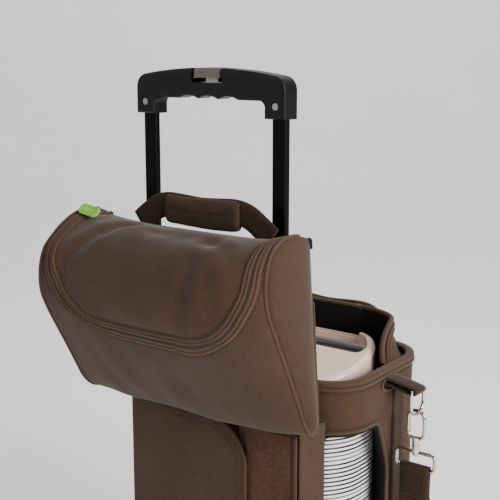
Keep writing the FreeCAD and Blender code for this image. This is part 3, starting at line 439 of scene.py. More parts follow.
def remeshed(name, node, voxel, rounds, mats, amount=0.0, scale=60.0, seed=0.0):
    """Soft copy of a CAD node: even small faces, eased edges and a slow waviness."""
    source = frame["nodes"][node]
    copy = bpy.data.objects.new(name + "_work", source.data.copy())
    scene.collection.objects.link(copy)
    mod = copy.modifiers.new("voxels", "REMESH")
    mod.mode = "VOXEL"
    mod.voxel_size = voxel * MM
    bpy.context.view_layer.update()
    graph = bpy.context.evaluated_depsgraph_get()
    mesh = bpy.data.meshes.new_from_object(copy.evaluated_get(graph))
    bpy.data.objects.remove(copy, do_unlink=True)
    shape = bmesh.new()
    shape.from_mesh(mesh)
    for _ in range(rounds):
        bmesh.ops.smooth_vert(shape, verts=shape.verts, factor=0.5, use_axis_x=True, use_axis_y=True,
                              use_axis_z=True)
    shape.normal_update()
    moves = []
    for v in shape.verts:
        p = v.co / MM
        wave = noise.noise(p / scale + Vector((seed, 0, 0)))
        wave += 0.35 * noise.noise(p / (scale * 0.4) + Vector((0, seed, 5)))
        moves.append(v.normal * (amount * wave * MM))
    for v, move in zip(shape.verts, moves):
        v.co += move
    shape.to_mesh(mesh)
    shape.free()
    mesh.materials.clear()
    mesh.name = name
    return link(name, mesh, mats)


# ---- the pouch ---------------------------------------------------------------------------------------
# side outlines, (depth, height), in the same order all round: at the ends, and at the middle
END_LEFT = [(-12.8, 508), (-15, 520), (-28, 527.5), (-48, 530), (-68, 527), (-86, 518), (-100, 507),
            (-111, 495), (-116.5, 475), (-115.5, 452), (-106, 430), (-92, 405), (-79, 382), (-68, 362),
            (-58, 344.5), (-46, 333), (-34, 329), (-20, 328.5), (-12.8, 335), (-12.8, 422)]
END = [(-12.8, 510), (-15, 520), (-28, 526.5), (-45, 528.5), (-60, 526), (-72, 519), (-80.5, 508),
       (-85.5, 493), (-86.5, 478), (-84, 462), (-77, 445), (-68, 424), (-57, 399), (-47, 375),
       (-38, 352), (-31, 339), (-24, 332.5), (-17.5, 332.5), (-12.8, 340), (-12.8, 422)]
MIDDLE = [(-12.8, 505), (-15, 514), (-28, 517), (-44, 520), (-60, 521.5), (-76, 519.5), (-93, 512),
          (-106, 500.5), (-114, 485), (-116.5, 466), (-114.5, 444), (-106, 426), (-91, 399), (-74, 370),
          (-60, 347), (-47, 332.5), (-36, 328), (-20, 327.5), (-12.8, 334), (-12.8, 422)]
LID_X, LID_R = 130.0, 78.0      # half width and corner radius of the lid
POUCH_HALF = 140.0
ROW_MM = 19.0                   # about the distance between two neighbours of an outline
HINGE_S, SEAM_GAP = 2.0, 0.03   # places along the outline: the lid's hinge, half the lid's seam


# soft creases in the lid and the front: both ends as (x, s), then width and depth in mm
CREASES = [((-62, 3.6), (-112, 8.6), 9, 2.6), ((-20, 4.6), (62, 4.9), 12, 2.6),
           ((62, 4.9), (104, 6.2), 9, 1.8), ((64, 6.6), (52, 9.6), 8, 1.6),
           ((86, 6.8), (90, 9.4), 8, 1.4), ((-96, 9.0), (-40, 10.2), 11, 1.1),
           ((10, 12.8), (48, 14.2), 10, 1.0), ((-88, 13.0), (-60, 14.6), 10, 1.2),
           ((98, 12.4), (112, 14.6), 8, 1.0)]


def crease(x, s):
    """How far the cloth sinks in at a place."""
    sink = 0.0
    for (xa, sa), (xb, sb), width, depth in CREASES:
        ax, ay, bx, by = xa, sa * ROW_MM, xb, sb * ROW_MM
        t = ((x - ax) * (bx - ax) + (s * ROW_MM - ay) * (by - ay)) / ((bx - ax) ** 2 + (by - ay) ** 2)
        t = min(max(t, 0), 1)
        gap = math.hypot(x - ax - t * (bx - ax), s * ROW_MM - ay - t * (by - ay))
        sink += depth * (math.exp(-(gap / width) ** 2) - 0.45 * math.exp(-((gap - 1.9 * width) / width) ** 2))
    return sink


def pouch(x, s, lift=0.0):
    """A point on the pouch: x across it, s the place along its side outline."""
    ends = spline(END_LEFT if x < 0 else END, s, True)
    mid = spline(MIDDLE, s, True)
    b = max(1 - (min(abs(x), POUCH_HALF) / POUCH_HALF) ** 2.7, 0.0) ** 0.56
    y, z = (a * (1 - b) + c * b for a, c in zip(ends, mid))
    if s < 17.5:
        fade = min(b * 1.6, 1.0) * min(max((17.5 - s) / 2, 0), 1) * min(max((s - 1.6) / 2, 0), 1)
        wave = 2.4 * noise.noise(Vector((x / 62, s * 0.42, 3.1)))
        wave += 1.2 * noise.noise(Vector((x / 26, s * 0.9, 7.7)))
        edge = min(abs(s - lid_edge(max(min(x, LID_X), -LID_X))) * ROW_MM / 14, 1)
        out = Vector((y + 50, z - 440)).normalized()
        push = fade * (wave - crease(x, s) * edge)
        y += out.x * push
        z += out.y * push
    high = min(max((z - 342) / 185, 0), 1)
    p = at(x * (1 - (0.03 if x < 0 else 0.082) * high), y, z)
    if lift:
        p += pouch_normal(x, s) * (lift * MM)
    return p


def pouch_normal(x, s):
    x = min(max(x, 1 - POUCH_HALF), POUCH_HALF - 1)
    du = pouch(x + 0.8, s) - pouch(x - 0.8, s)
    dv = pouch(x, s + 0.05) - pouch(x, s - 0.05)
    return dv.cross(du).normalized()


def lid_edge(x):
    """Where the zipper runs, as a place along the outline."""
    front = 11.1 - 0.0005 * x - 0.6 * max(-x / 130, 0) ** 2
    over = abs(x) - (LID_X - LID_R)
    if over <= 0:
        return front
    return front - (LID_R - math.sqrt(max(LID_R ** 2 - over ** 2, 0.0))) / 19.5


def columns(half, n):
    """x stations, closer together near the ends."""
    out = []
    for k in range(n):
        t = 2 * k / (n - 1) - 1
        out.append(math.copysign(half * abs(t) ** 0.75, t))
    return out


POUCH_CENTRE = at(0, -50, 430)


def lined(obj, body, node):
    """Gives a piece of the pouch its thickness and its black inside."""
    solid(obj, 2.4)
    obj.modifiers["thickness"].material_offset = 1
    settle(obj, body, "pouch_fabric", node)


def pouch_lid():
    rows = []
    for x in columns(LID_X - 0.4, 73):
        low = lid_edge(x) - SEAM_GAP
        rows.append([pouch(x, HINGE_S + (low - HINGE_S) * k / 44) for k in range(45)])
    lid = make("pouch_top", flat(rows), grid(rows), [MATS["pouch_fabric"], MATS["lining"]], POUCH_CENTRE)
    lined(lid, "pouch_lid", "pouch_lid")


def pouch_tub():
    verts, faces = [], []

    def add_rows(rows):
        faces.extend(grid(rows, start=len(verts)))
        verts.extend(flat(rows))
    inner = columns(LID_X, 67)
    outer = [130.0, 131.6, 133.4, 135, 136.6, 138, 139.2, 140]
    stations = [-x for x in reversed(outer[1:])] + inner + outer[1:]
    rows = []
    for x in stations:
        low = lid_edge(max(min(x, LID_X), -LID_X)) + SEAM_GAP
        rows.append([pouch(x, low + (22.0 - low) * k / 64) for k in range(65)])
    add_rows(rows)
    for sign in (-1, 1):
        side = []
        for x in outer:
            low = lid_edge(sign * LID_X) + SEAM_GAP
            side.append([pouch(sign * x, HINGE_S + (low - HINGE_S) * k / 30) for k in range(31)])
        add_rows(side)
        cap = []
        for i in range(61):
            s = 0.05 + 17.95 * i / 60
            front = pouch(sign * POUCH_HALF, s)
            back = at(sign * POUCH_HALF, -12.8, min(max(front.z / MM, 342), 520))
            back.x = front.x
            row = []
            for j in range(11):
                u = j / 10
                p = front.lerp(back, u)
                low_down = min(max((s - 1) / 16, 0), 1)
                swell = (5.0 + 4.0 * low_down) * math.sin(math.pi * u) ** 0.6
                swell *= math.sin(math.pi * low_down) ** 0.45
                swell += 0.8 * noise.noise(Vector((u * 2, s * 0.5, 4.4))) * math.sin(math.pi * u)
                p.x += sign * swell * MM
                row.append(p)
            cap.append(row)
        add_rows(cap)
    tub = make("pouch_tub", verts, faces, [MATS["pouch_fabric"], MATS["lining"]], POUCH_CENTRE)
    lined(tub, "base", "pouch_body")


def lid_path(step=2.4):
    """The zipper's line as (x, s) pairs, from the left hinge end round the front to the right one."""
    out = []
    for sign in (-1, 1):
        low = lid_edge(sign * LID_X)
        n = int((low - 2.15) * ROW_MM / step)
        side = [(sign * LID_X, 2.15 + (low - 2.15) * k / n) for k in range(n)]
        angle_n = int(LID_R * 1.571 / step)
        turn = []
        for k in range(angle_n):
            a = math.pi / 2 * k / angle_n
            x = sign * (LID_X - LID_R + LID_R * math.cos(a))
            turn.append((x, lid_edge(x)))
        side += turn
        if sign == -1:
            out = side
            n = int(2 * (LID_X - LID_R) / step)
            for k in range(n):
                x = -(LID_X - LID_R) + 2 * (LID_X - LID_R) * k / n
                out.append((x, lid_edge(x)))
        else:
            out += side[::-1]
    return out


def beside(path, i, way):
    """The (x, s) place that lies a number of mm beside point i of the zipper's line."""
    x, s = path[i]
    xa, sa = path[max(i - 1, 0)]
    xb, sb = path[min(i + 1, len(path) - 1)]
    tx, ts = xb - xa, (sb - sa) * ROW_MM
    size = math.hypot(tx, ts)
    return x - ts / size * way, s + tx / size * way / ROW_MM


def band(name, path, profile):
    """A strip along the zipper on the pouch's surface: profile is (way across, height) in mm."""
    rows = [[pouch(*beside(path, i, way), height) for way, height in profile] for i in range(len(path))]
    return make(name, flat(rows), capped(rows), [MATS["case_binding"]])


def zipper():
    path = lid_path()
    ridge = [(0.8, -0.4), (0.8, 0.9), (1.4, 1.9), (2.4, 2.4), (3.4, 1.9), (3.9, 0.9), (4.3, 0.9), (4.8, 1.7),
             (5.7, 2.1), (6.6, 1.6), (7.2, 0.7), (7.5, -0.4)]
    settle(band("zip_tape_tub", path, ridge), "base", "case_binding")
    above = band("zip_tape_lid", path, [(-k, h) for k, h in reversed(ridge)])
    settle(above, "pouch_lid", "case_binding", "lid_zipper")
    teeth_v, teeth_f = [], []
    for i in range(6, len(path) - 7):
        x, s = path[i]
        n = pouch_normal(x, s)
        p = pouch(x, s)
        q = pouch(*path[i + 1])
        t = (q - p).normalized()
        side = t.cross(n)
        for half in (0, 1):
            c = p + (q - p) * (0.5 * half) + side * ((0.35 if half else -0.35) * MM) + n * (0.7 * MM)
            k = len(teeth_v)
            for a, b, h in ((-1, -1, -1), (1, -1, -1), (1, 1, -1), (-1, 1, -1), (-0.7, -0.8, 1),
                            (0.7, -0.8, 1), (0.7, 0.8, 1), (-0.7, 0.8, 1)):
                teeth_v.append(c + (t * (a * 0.42) + side * (b * 0.95) + n * (h * 0.55)) * MM)
            teeth_f += [[k + j for j in f] for f in ((0, 3, 2, 1), (4, 5, 6, 7), (0, 1, 5, 4), (1, 2, 6, 5),
                                                     (2, 3, 7, 6), (3, 0, 4, 7))]
    teeth = make("zip_teeth", teeth_v, teeth_f, [MATS["trolley"]])
    settle(teeth, "pouch_lid", "trolley")
    for sign, word in ((-1, "left"), (1, "right")):
        aside = Vector((sign * 0.5 * MM, 0, 0))
        edge = [pouch(sign * POUCH_HALF, 2.2 + 17.2 * k / 110) + aside for k in range(111)]
        piping(f"pouch_end_piping_{word}", edge, 1.7)


def pouch_seams():
    """Rows of stitching beside the zipper."""
    path = lid_path(2.0)
    for name, way, body in (("stitches_lid", -9.0, "pouch_lid"), ("stitches_tub", 8.9, "base")):
        row, normals = [], []
        for i in range(len(path)):
            x, s = beside(path, i, way)
            if abs(x) < POUCH_HALF - 1:
                row.append(pouch(x, s))
                normals.append(pouch_normal(x, s))
        stitches(name, row, normals, body)


def pull_tab():
    """Rubber pull on the zipper's left end: a rounded tab with a raised rim and four grip bars."""
    low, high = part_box("zipper_pull")
    c = (low + high) / 2
    half_x, half_y = 16.0, 6.8
    tilt = math.radians(38)

    def tab_point(dx, dy, dz):
        """The tab leans over the lid's front slope."""
        y = dy * math.cos(tilt) - dz * math.sin(tilt)
        z = dy * math.sin(tilt) + dz * math.cos(tilt)
        return c + Vector((dx, y - 3.0 - 0.12 * (dx + 16), z + 2.6 - 0.10 * (dx + 16))) * MM
    rows = []
    r = 6.2
    profile = ((0.0, -1.5), (0.80, -1.5), (1.0, -0.6), (1.0, 0.7), (0.90, 1.5), (0.74, 1.45), (0.66, 0.75),
               (0.0, 0.75))
    for k in range(48):
        a = step_angle(k, 48)
        ux = math.copysign(half_x - r, math.cos(a)) + r * math.cos(a)
        uy = r * math.sin(a)
        rows.append([tab_point(ux * f, uy * f * half_y / r, h) for f, h in profile])
    tab = make("pull_tab", flat(rows), grid(rows, True, False), [MATS["zip_pull_green"]])
    settle(tab, "zipper_pull", "zip_pull_green", "zipper_pull")
    for k in range(4):
        x = -6 + 4 * k
        path = [tab_point(x - 1.2 + 0.5 * j, -3.0 + 1.5 * j, 0.9) for j in range(5)]
        bar = tube(f"pull_grip_{k}", path, 0.6, MATS["zip_pull_green"], sides=8)
        settle(bar, "zipper_pull", "zip_pull_green")


def handle_parts():
    """Carry handle on the pouch: webbing in two slanting legs and a padded sleeve round its middle."""
    z0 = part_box("pouch_handle")[0].z / MM
    half = [(88, -1.5), (74, 9), (60, 17.5), (44, 21), (20, 20)]
    line = [(-x, -18, z0 + z) for x, z in half] + [(0, -18, z0 + 19)]
    line += [(x, -18, z0 + z) for x, z in half[::-1]]
    path = [at(*p) for p in smooth_path(line, 1.1)]
    tangents = frames(path, False)
    across = [Vector((0, 1, 0)).cross(t) for t in tangents]
    web = ribbon("handle_webbing", path, across, 26, 2.2, MATS["webbing"], rib=3.2, depth=0.5)
    settle(web, "pouch_handle", "webbing", "pouch_handle")
    low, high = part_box("handle_wrap")
    c = (low + high) / 2
    rows = []
    for i in range(61):
        u = -1 + 2 * i / 60
        x = 49 * u
        end = (1 - abs(u) ** 14) ** 0.5 if abs(u) < 1 else 0.02
        tall = (15.6 + 0.5 * math.sin(3 * u)) * (0.80 + 0.20 * end)
        deep = 6.1 * (0.55 + 0.45 * end)
        drop = -1.6 * (1 - u * u)
        row = []
        for k in range(40):
            a = step_angle(k, 40)
            ca, sa = math.cos(a), math.sin(a)
            n = noise.noise(Vector((x / 17, ca * 1.3, sa * 1.3))) * 0.7
            y = squarish(ca, 0.75) * (deep + n)
            z = squarish(sa, 0.85) * (tall + n * 0.4)
            if ca < 0 and abs(z + 0.5) < 1.6:
                y *= 0.86
            row.append(c + Vector((x, y, z + drop)) * MM)
        rows.append(row)
    wrap = make("handle_pad", flat(rows), capped(rows), [MATS["pouch_fabric"]])
    settle(wrap, "pouch_handle", "pouch_fabric", "handle_wrap")
    for name, z in (("handle_stitch_high", 2.6), ("handle_stitch_low", -3.6)):
        row = [c + Vector((-45 + 90 * k / 60, -6.1, z - 1.6 * (1 - (k / 30 - 1) ** 2))) * MM
               for k in range(61)]
        stitches(name, row, Vector((0, -1, 0)), "pouch_handle")


def tube_loops():
    """Webbing loops that hold the pouch to the outer tubes."""
    low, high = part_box("pouch_straps")
    z = (low.z + high.z) / 2 / MM
    for sign, word in ((-1, "left"), (1, "right")):
        x = sign * 85
        pts = []
        for k in range(40):
            a = step_angle(k, 40)
            pts.append((x + 13.2 * squarish(math.cos(a), 0.45), -0.6 + 10.0 * squarish(math.sin(a), 0.45), z))
        path = [at(*p) for p in smooth_path(pts, 1.1, True)]
        across = [Vector((0, 0, 1))] * len(path)
        loop = ribbon(f"tube_loop_{word}", path, across, 25, 2.0, MATS["webbing"], closed=True)
        settle(loop, "base", "webbing", "pouch_straps")


# ---- the carrying case -------------------------------------------------------------------------------
# half width, near and far side and corner radius in plan, then heights
HALF, NEAR, FAR, CORNER = 138.0, 42.0, 212.0, 45.0
RIM_LOW, RIM_HIGH = 358.0, 363.0
HOOD_TOP, HOOD_FRONT = 405.0, 133.0


def plan_gap(x, y, half, near, far, r):
    """Distance outside (+) or inside (-) a rounded rectangle."""
    dx = abs(x) - (half - r)
    dy = abs(y - (near + far) / 2) - ((far - near) / 2 - r)
    return math.hypot(max(dx, 0), max(dy, 0)) + min(max(dx, dy), 0) - r


def plan_path(half, near, far, r, step=3.0):
    """Points round a rounded rectangle, from the middle of the near side, to the right."""
    pts = []

    def run(a, b):
        n = max(int(math.dist(a, b) / step), 1)
        pts.extend((a[0] + (b[0] - a[0]) * k / n, a[1] + (b[1] - a[1]) * k / n) for k in range(n))

    def turn(cx, cy, a0):
        n = max(int(r * 1.571 / step), 3)
        for k in range(n):
            a = math.radians(a0 + 90 * k / n)
            pts.append((cx + r * math.cos(a), cy + r * math.sin(a)))
    run((0, near), (half - r, near))
    turn(half - r, near + r, -90)
    run((half, near + r), (half, far - r))
    turn(half - r, far - r, 0)
    run((half - r, far), (-half + r, far))
    turn(-half + r, far - r, 90)
    run((-half, far - r), (-half, near + r))
    turn(-half + r, near + r, 180)
    run((-half + r, near), (0, near))
    return pts


def rim_z(y):
    return RIM_LOW + (RIM_HIGH - RIM_LOW) * (y - NEAR) / (FAR - NEAR)


def hood_plan(z, inset=0.0):
    """Half width, far side and corner radius of the leaning hood at a height."""
    t = (z - 340) / 68
    return 133 - 16 * t - inset, 207 - 9 * t - inset, 42 + 24 * t - inset


def hood_lean(y, z):
    """The hood's front edge sweeps back as it rises."""
    if z < 362 or y < 128 or y > 200:
        return y
    shift = 30 * min((z - 362) / 43, 1) ** 2
    return y + shift * max(1 - max(y - 134, 0) / 66, 0)


def case():
    body = remeshed("soft_case", "case_shell", 2.8, 3, [MATS["case_fabric"], MATS["lining"]], 1.3, 70, 2.0)
    for v in body.data.vertices:
        if abs(v.co.x) > 0.06:
            v.co.y = (hood_lean(v.co.y / MM - TUBE_Y, v.co.z / MM) + TUBE_Y) * MM
    body.data.update()
    for face in body.data.polygons:
        p = face.center / MM
        y = p.y - TUBE_Y
        inward = Vector((-p.x, 127 - y, 0)).normalized()
        gap = plan_gap(p.x, y, HALF, NEAR, FAR, CORNER)
        facing = face.normal.dot(inward)
        inside = facing > 0.25 or (face.normal.z > 0.6 and gap < -8.5 and p.z < 352)
        if 96 < p.z <= HOOD_TOP - 3 and gap < -3.2 and inside:
            face.material_index = 1
    settle(body, "base", "case_fabric", "case_shell")


def swept_ring(name, path, section, mat, slot, *nodes):
    """A closed band round the case: path holds (x, y, z), section (out, up) in mm."""
    rows = []
    n = len(path)
    for i in range(n):
        a, b = path[i - 1], path[(i + 1) % n]
        t = Vector((b[0] - a[0], b[1] - a[1], 0)).normalized()
        out = Vector((t.y, -t.x, 0))
        rows.append([at(*path[i]) + (out * o + Vector((0, 0, 1)) * u) * MM for o, u in section])
    ring = make(name, flat(rows), grid(rows, True, True), [mat])
    return settle(ring, "base", slot, *nodes)


def rim():
    """Rolled binding over the rim, with its tape, piping and stitching."""
    path = [(x, y, rim_z(y)) for x, y in plan_path(HALF - 3.75, NEAR + 3.75, FAR - 3.75, CORNER - 3.75)]
    section = []
    for k in range(20):
        a = step_angle(k, 20)
        section.append((5.2 * squarish(math.cos(a), 0.7), -0.8 + 3.3 * squarish(math.sin(a), 0.7)))
    swept_ring("rim_binding", path, section, MATS["case_binding"], "case_binding", "case_piping")
    low = [(x, y, rim_z(y) - 5.4) for x, y in plan_path(HALF + 0.4, NEAR - 0.4, FAR + 0.4, CORNER)]
    swept_ring("rim_tape", low, [(1.0, -1.9), (1.5, -1.0), (1.6, 0), (1.4, 1.3), (-0.8, 1.6), (-0.8, -2.1)],
               MATS["case_binding"], "case_binding")
    line = [(x, y, rim_z(y) - 9.6) for x, y in plan_path(HALF + 1.2, NEAR - 1.2, FAR + 1.2, CORNER, 2)]
    normals = []
    for i in range(len(line)):
        a, b = line[i - 1], line[(i + 1) % len(line)]
        normals.append(Vector((b[1] - a[1], a[0] - b[0], 0)).normalized())
    stitches("rim_stitches", [at(*p) for p in line], normals, "base", closed=True)


def hood_point(y, z, inset):
    """The point of the hood's right side at a depth and a height."""
    half, far, r = hood_plan(z, inset)
    over = min(max(y - (far - r), 0), r)
    return half - r + math.sqrt(r * r - over * over), y, z


def hood_line(inset, lift, back):
    """A line on the hood beside its free edge: up the front edge and along the top, from right to left."""
    pts = []
    y, z = HOOD_FRONT + 1 + back, 362.0
    while z < HOOD_TOP - 15 - lift:
        pts.append(hood_point(y, z, inset))
        z += 3
    for k in range(1, 7):
        a = math.radians(90 * k / 6)
        z = HOOD_TOP - 14 + 14 * math.sin(a) - lift
        pts.append(hood_point(HOOD_FRONT + 2 + back + 15 * (1 - math.cos(a)), z, inset))
    half, far, r = hood_plan(HOOD_TOP - lift, inset)
    a0 = math.asin(min(max(pts[-1][1] - (far - r), 0) / r, 1))
    for k in range(1, 13):
        a = a0 + (math.pi / 2 - a0) * k / 12
        pts.append((half - r + r * math.cos(a), far - r + r * math.sin(a), HOOD_TOP - lift))
    x = half - r - 6
    while x > 0:
        pts.append((x, far, HOOD_TOP - lift))
        x -= 6
    return pts + [(-p[0], p[1], p[2]) for p in reversed(pts)]


def hood_edges():
    for name, inset, lift, back, r in (
            ("hood_edge", 1.8, 3.0, -1.0, 2.8), ("hood_piping_high", -0.7, 8.5, 6.5, 1.7),
            ("hood_piping_low", -0.7, 13.5, 11.5, 1.4)):
        swept = [(x, hood_lean(y, z), z) for x, y, z in hood_line(inset, lift, back)]
        line = [at(*p) for p in smooth_path(swept, 3.0)]
        piping(name, line, r)


def window_outline(g):
    """Corners of a window as (place along the case's corner, height), g mm outside its edge."""
    return [(70 - g, 304 + g), (100, 305 + g), (131 + g, 306 + g), (139 + g, 280), (146 + g, 250),
            (146 + g, 205), (136 + g, 170), (118, 150 - g), (84, 144 - g), (64 - g, 150 - g),
            (64 - g, 210), (64 - g, 272)]


def on_corner(along, z, out):
    """The point of the case's wall in front of a place on the window's diagonal plane."""
    d = math.sqrt(0.5)
    low, high = 0.0, 160.0
    for _ in range(30):
        t = (low + high) / 2
        if plan_gap(along * d + t, NEAR + 14 + along * d - t, HALF, NEAR, FAR, CORNER) > out:
            high = t
        else:
            low = t
    return along * d + low, NEAR + 14 + along * d - low, z


def windows():
    corners = window_outline(1.2)
    pts = []
    for i in range(len(corners)):
        a, b = corners[i], corners[(i + 1) % len(corners)]
        n = max(int(math.dist(a, b) / 4), 1)
        pts += [(a[0] + (b[0] - a[0]) * k / n, a[1] + (b[1] - a[1]) * k / n) for k in range(n)]
    for _ in range(2):
        pts = [tuple((p[j] + 2 * q[j] + r[j]) / 4 for j in (0, 1)) for p, q, r in
               zip(pts[-1:] + pts[:-1], pts, pts[1:] + pts[:1])]
    middle = (105, 225)
    for word, sign in (("right", 1), ("left", -1)):
        for name, grow, out, r, mat in (
                ("piping", 0.0, 0.6, 2.0, "case_binding"), ("edge", -2.4, -0.9, 1.5, "lining")):
            line = []
            for a, z in pts:
                k = 1 + grow / 55
                x, y, h = on_corner(middle[0] + (a - middle[0]) * k, middle[1] + (z - middle[1]) * k, out)
                if sign < 0:
                    x, y = -x, NEAR + FAR - y
                line.append(at(x, y, h))
            piping(f"window_{name}_{word}", line, r, True, mat=mat)


SLOT_Y, SLOT_Z = 128, 344.5


def side_bands():
    """A sewn band down each side of the case, and the piped slot that the ring's tab comes out of, with
    painted shade in its opening.
    """
    for sign, word in ((1, "right"), (-1, "left")):
        rows = []
        for k in range(60):
            z = 112 + 222 * k / 59
            row = []
            for y, o in ((134.5, 0.2), (135.0, 1.2), (137, 1.9), (140, 1.5), (146, 1.2), (152, 1.5),
                         (155, 1.9), (157, 1.2), (157.5, 0.2)):
                wave = 0.5 * noise.noise(Vector((y / 20, z / 30, 9.0)))
                row.append(at(sign * (HALF + o + wave + 0.3), y, z))
            rows.append(row)
        strip = make(f"side_band_{word}", flat(rows), grid(rows), [MATS["webbing"]], at(0, 146, 220))
        solid(strip, 1.0)
        settle(strip, "base", "webbing")
        for tag, y in (("near", 137), ("far", 155)):
            line = [at(sign * (HALF + 2.2), y, 114 + 218 * k / 70) for k in range(71)]
            stitches(f"side_stitch_{word}_{tag}", line, Vector((sign, 0, 0)), "base")
        line = []
        for k in range(36):
            a = step_angle(k, 36)
            line.append(at(sign * (HALF + 0.9), SLOT_Y + 17 * math.cos(a), SLOT_Z + 7.5 * math.sin(a)))
        piping(f"slot_piping_{word}", line, 1.6, True)
        # a black disc closes the slot: painted shade in its opening
        fan = [at(sign * (HALF + 0.7), SLOT_Y, SLOT_Z)] + [p.copy() for p in line]
        faces = [[0, 1 + k, 1 + (k + 1) % 36] for k in range(36)]
        plate = make(f"slot_painted_shade_{word}", fan, faces, [MATS["lining"]], at(0, 128, 344))
        solid(plate, 0.6)
        settle(plate, "base", "case_fabric")


CLOTH_LOW = 100.5   # lower edge of the channel and its flaps
FLAP_TOP, FLAP_R = 321.0, 52   # top edge of the left flap and the radius of its free corner


def sleeve_and_flaps():
    """The channel round the trolley's tubes and the two flaps that close it."""
    tube_channel()
    left_flap()
    right_flap()


def tube_channel():
    wall = []
    plan = [(-112.6, -4), (-112.6, 18), (-112.3, 36), (-108, 40.5), (-60, 40.6), (0, 40.6), (60, 40.6),
            (108, 40.5), (112.3, 36), (112.6, 18), (112.6, -4)]
    for x, y in smooth_path(plan, 4.0):
        row = []
        for k in range(56):
            z = CLOTH_LOW + 220 * k / 55
            row.append(at(x, y - 0.5 * abs(noise.noise(Vector((x / 40, y / 40, z / 50)))) * (y > 30), z))
        wall.append(row)
    sleeve = make("tube_channel", flat(wall), grid(wall), [MATS["case_fabric"]], at(0, -100, 210))
    solid(sleeve, 2.2, 0)
    settle(sleeve, "base", "case_fabric", "tube_sleeve")


def left_flap():
    """The wide flap, with its edge roll and two rows of stitches."""
    plan = smooth_path([(-113.6, -6.2), (-113.2, -9.5), (-104, -13), (-60, -15.8), (-10, -17.2), (30, -17.4),
                        (53, -16.6)], 2.6)
    rows, edge = [], []
    for x, y in plan:
        over = max(x - 2, 0)
        high = FLAP_TOP - (FLAP_R - math.sqrt(max(FLAP_R ** 2 - over ** 2, 0)))
        if x < -105:
            high = FLAP_TOP - 4 * (-105 - x) / 9
        row = []
        for k in range(66):
            z = CLOTH_LOW + (high - CLOTH_LOW) * k / 65
            wave = 0.9 * noise.noise(Vector((x / 45, z / 60, 1.5))) * min((x + 114) / 30, 1)
            row.append(at(x, y + wave, z))
        rows.append(row)
        edge.append((x, y, high))
    flap = make("flap_left", flat(rows), grid(rows), [MATS["case_fabric"]], at(0, 100, 210))
    solid(flap, 2.6, 0)
    settle(flap, "left_flap", "case_fabric", "left_flap")
    rim_line = [(x, y, z) for x, y, z in edge if x > -104]
    rim_line += [(53, -16.6, z) for z in range(264, 101, -5)]
    pts = [at(*p) for p in smooth_path(rim_line, 2.5)]
    piping("flap_left_edge", pts, 1.9, False, "left_flap", "case_fabric", "case_fabric")
    for name, inset in (("flap_stitch_outer", 5.0), ("flap_stitch_inner", 10.5)):
        line = []
        for x, y, z in rim_line:
            if z > 318:
                line.append((x, y - 1.75, z - inset))
            else:
                q = Vector((x - 2, z - 269))
                if x > 2 and z > 268:
                    f = (FLAP_R - inset) / FLAP_R
                    line.append((2 + q.x * f, y - 1.75, 269 + q.y * f))
                else:
                    line.append((x - inset, y - 1.8, z))
        row = [at(*p) for p in smooth_path(line, 2.2)]
        stitches(name, row, Vector((0, -1, 0)), "left_flap")


def right_flap():
    """The narrow flap, with its hem and the loop patch."""
    rows = []
    for i in range(38):
        x = 40.5 + 73 * i / 37
        rows.append([at(x, -9.4 + 0.5 * noise.noise(Vector((x / 30, k / 9, 3.3))), CLOTH_LOW + 218 * k / 60)
                     for k in range(61)])
    flap = make("flap_right", flat(rows), grid(rows), [MATS["case_fabric"]], at(0, 100, 210))
    solid(flap, 2.2, 0)
    settle(flap, "right_flap", "case_fabric", "right_flap")
    hem = [at(112.6, -10.6, 102 + 216 * k / 60) for k in range(61)]
    piping("flap_right_hem", hem, 2.0, False, "right_flap", "case_fabric", "case_fabric")
    rows = []
    for i in range(50):
        x = 49.5 + 58 * i / 49
        row = []
        for k in range(150):
            z = 131 + 187 * k / 149
            fuzz = 0.55 * noise.noise(Vector((x / 1.9, z / 1.9, 0.5)))
            fuzz += 0.3 * noise.noise(Vector((x / 7, z / 7, 2)))
            edge_drop = 0.8 if i in (0, 49) or k in (0, 149) else 0
            row.append(at(x, -11.6 - fuzz + edge_drop, z))
        rows.append(row)
    patch = make("loop_pad", flat(rows), grid(rows), [MATS["hook_loop"]], at(0, 100, 210))
    solid(patch, 0.8)
    settle(patch, "right_flap", "hook_loop", "loop_patch")


def cover():
    """The case's padded top cover, hanging open behind: swollen by a short cloth simulation."""
    soft_pad("top_cover", "top_flap", 3.4, 2.2, 5.0, MATS["case_fabric"], "top_flap", "case_fabric")
    edge = []
    outline = [(-62, 399), (0, 399.5), (62, 399), (91, 364), (103, 342), (104, 300), (92, 268),
               (64, 256.5), (0, 256), (-64, 256.5), (-92, 268), (-104, 300), (-103, 342), (-91, 364)]
    for x, z in smooth_path(outline, 3.0, True):
        edge.append(at(x, FAR + 4.6, z))
    piping("top_cover_piping", edge, 2.2, True, "top_flap")


CLOTH_STEPS = 20


def soft_pad(name, node, voxel, cap, pressure, mat, body, slot):
    """A padded piece: even mesh, blown up slightly as cloth, then eased."""
    pad = remeshed(name, node, voxel, 2, [mat], 0.35, 30, 6.0)
    start = [v.co.copy() for v in pad.data.vertices]
    mod = pad.modifiers.new("cloth", "CLOTH")
    mod.settings.use_pressure = True
    mod.settings.uniform_pressure_force = pressure
    mod.settings.effector_weights.gravity = 0
    mod.settings.quality = 4
    mod.settings.tension_stiffness = 30
    mod.point_cache.frame_start = 1
    mod.point_cache.frame_end = CLOTH_STEPS
    for step in range(1, CLOTH_STEPS + 1):
        scene.frame_set(step)
    graph = bpy.context.evaluated_depsgraph_get()
    shape = pad.evaluated_get(graph).data
    moved = []
    limit = cap * MM
    for v, old in zip(shape.vertices, start):
        way = v.co - old
        moved.append(old + (way if way.length <= limit else way * (limit / way.length)))
    pad.modifiers.clear()
    for v, new in zip(pad.data.vertices, moved):
        v.co = new
    pad.data.update()
    scene.frame_set(1)
    sub = pad.modifiers.new("eased", "SUBSURF")
    sub.levels = 1
    sub.render_levels = 1
    settle(pad, body, slot, node)


# ---- shoulder strap ----------------------------------------------------------------------------------
STRAP_X = 173


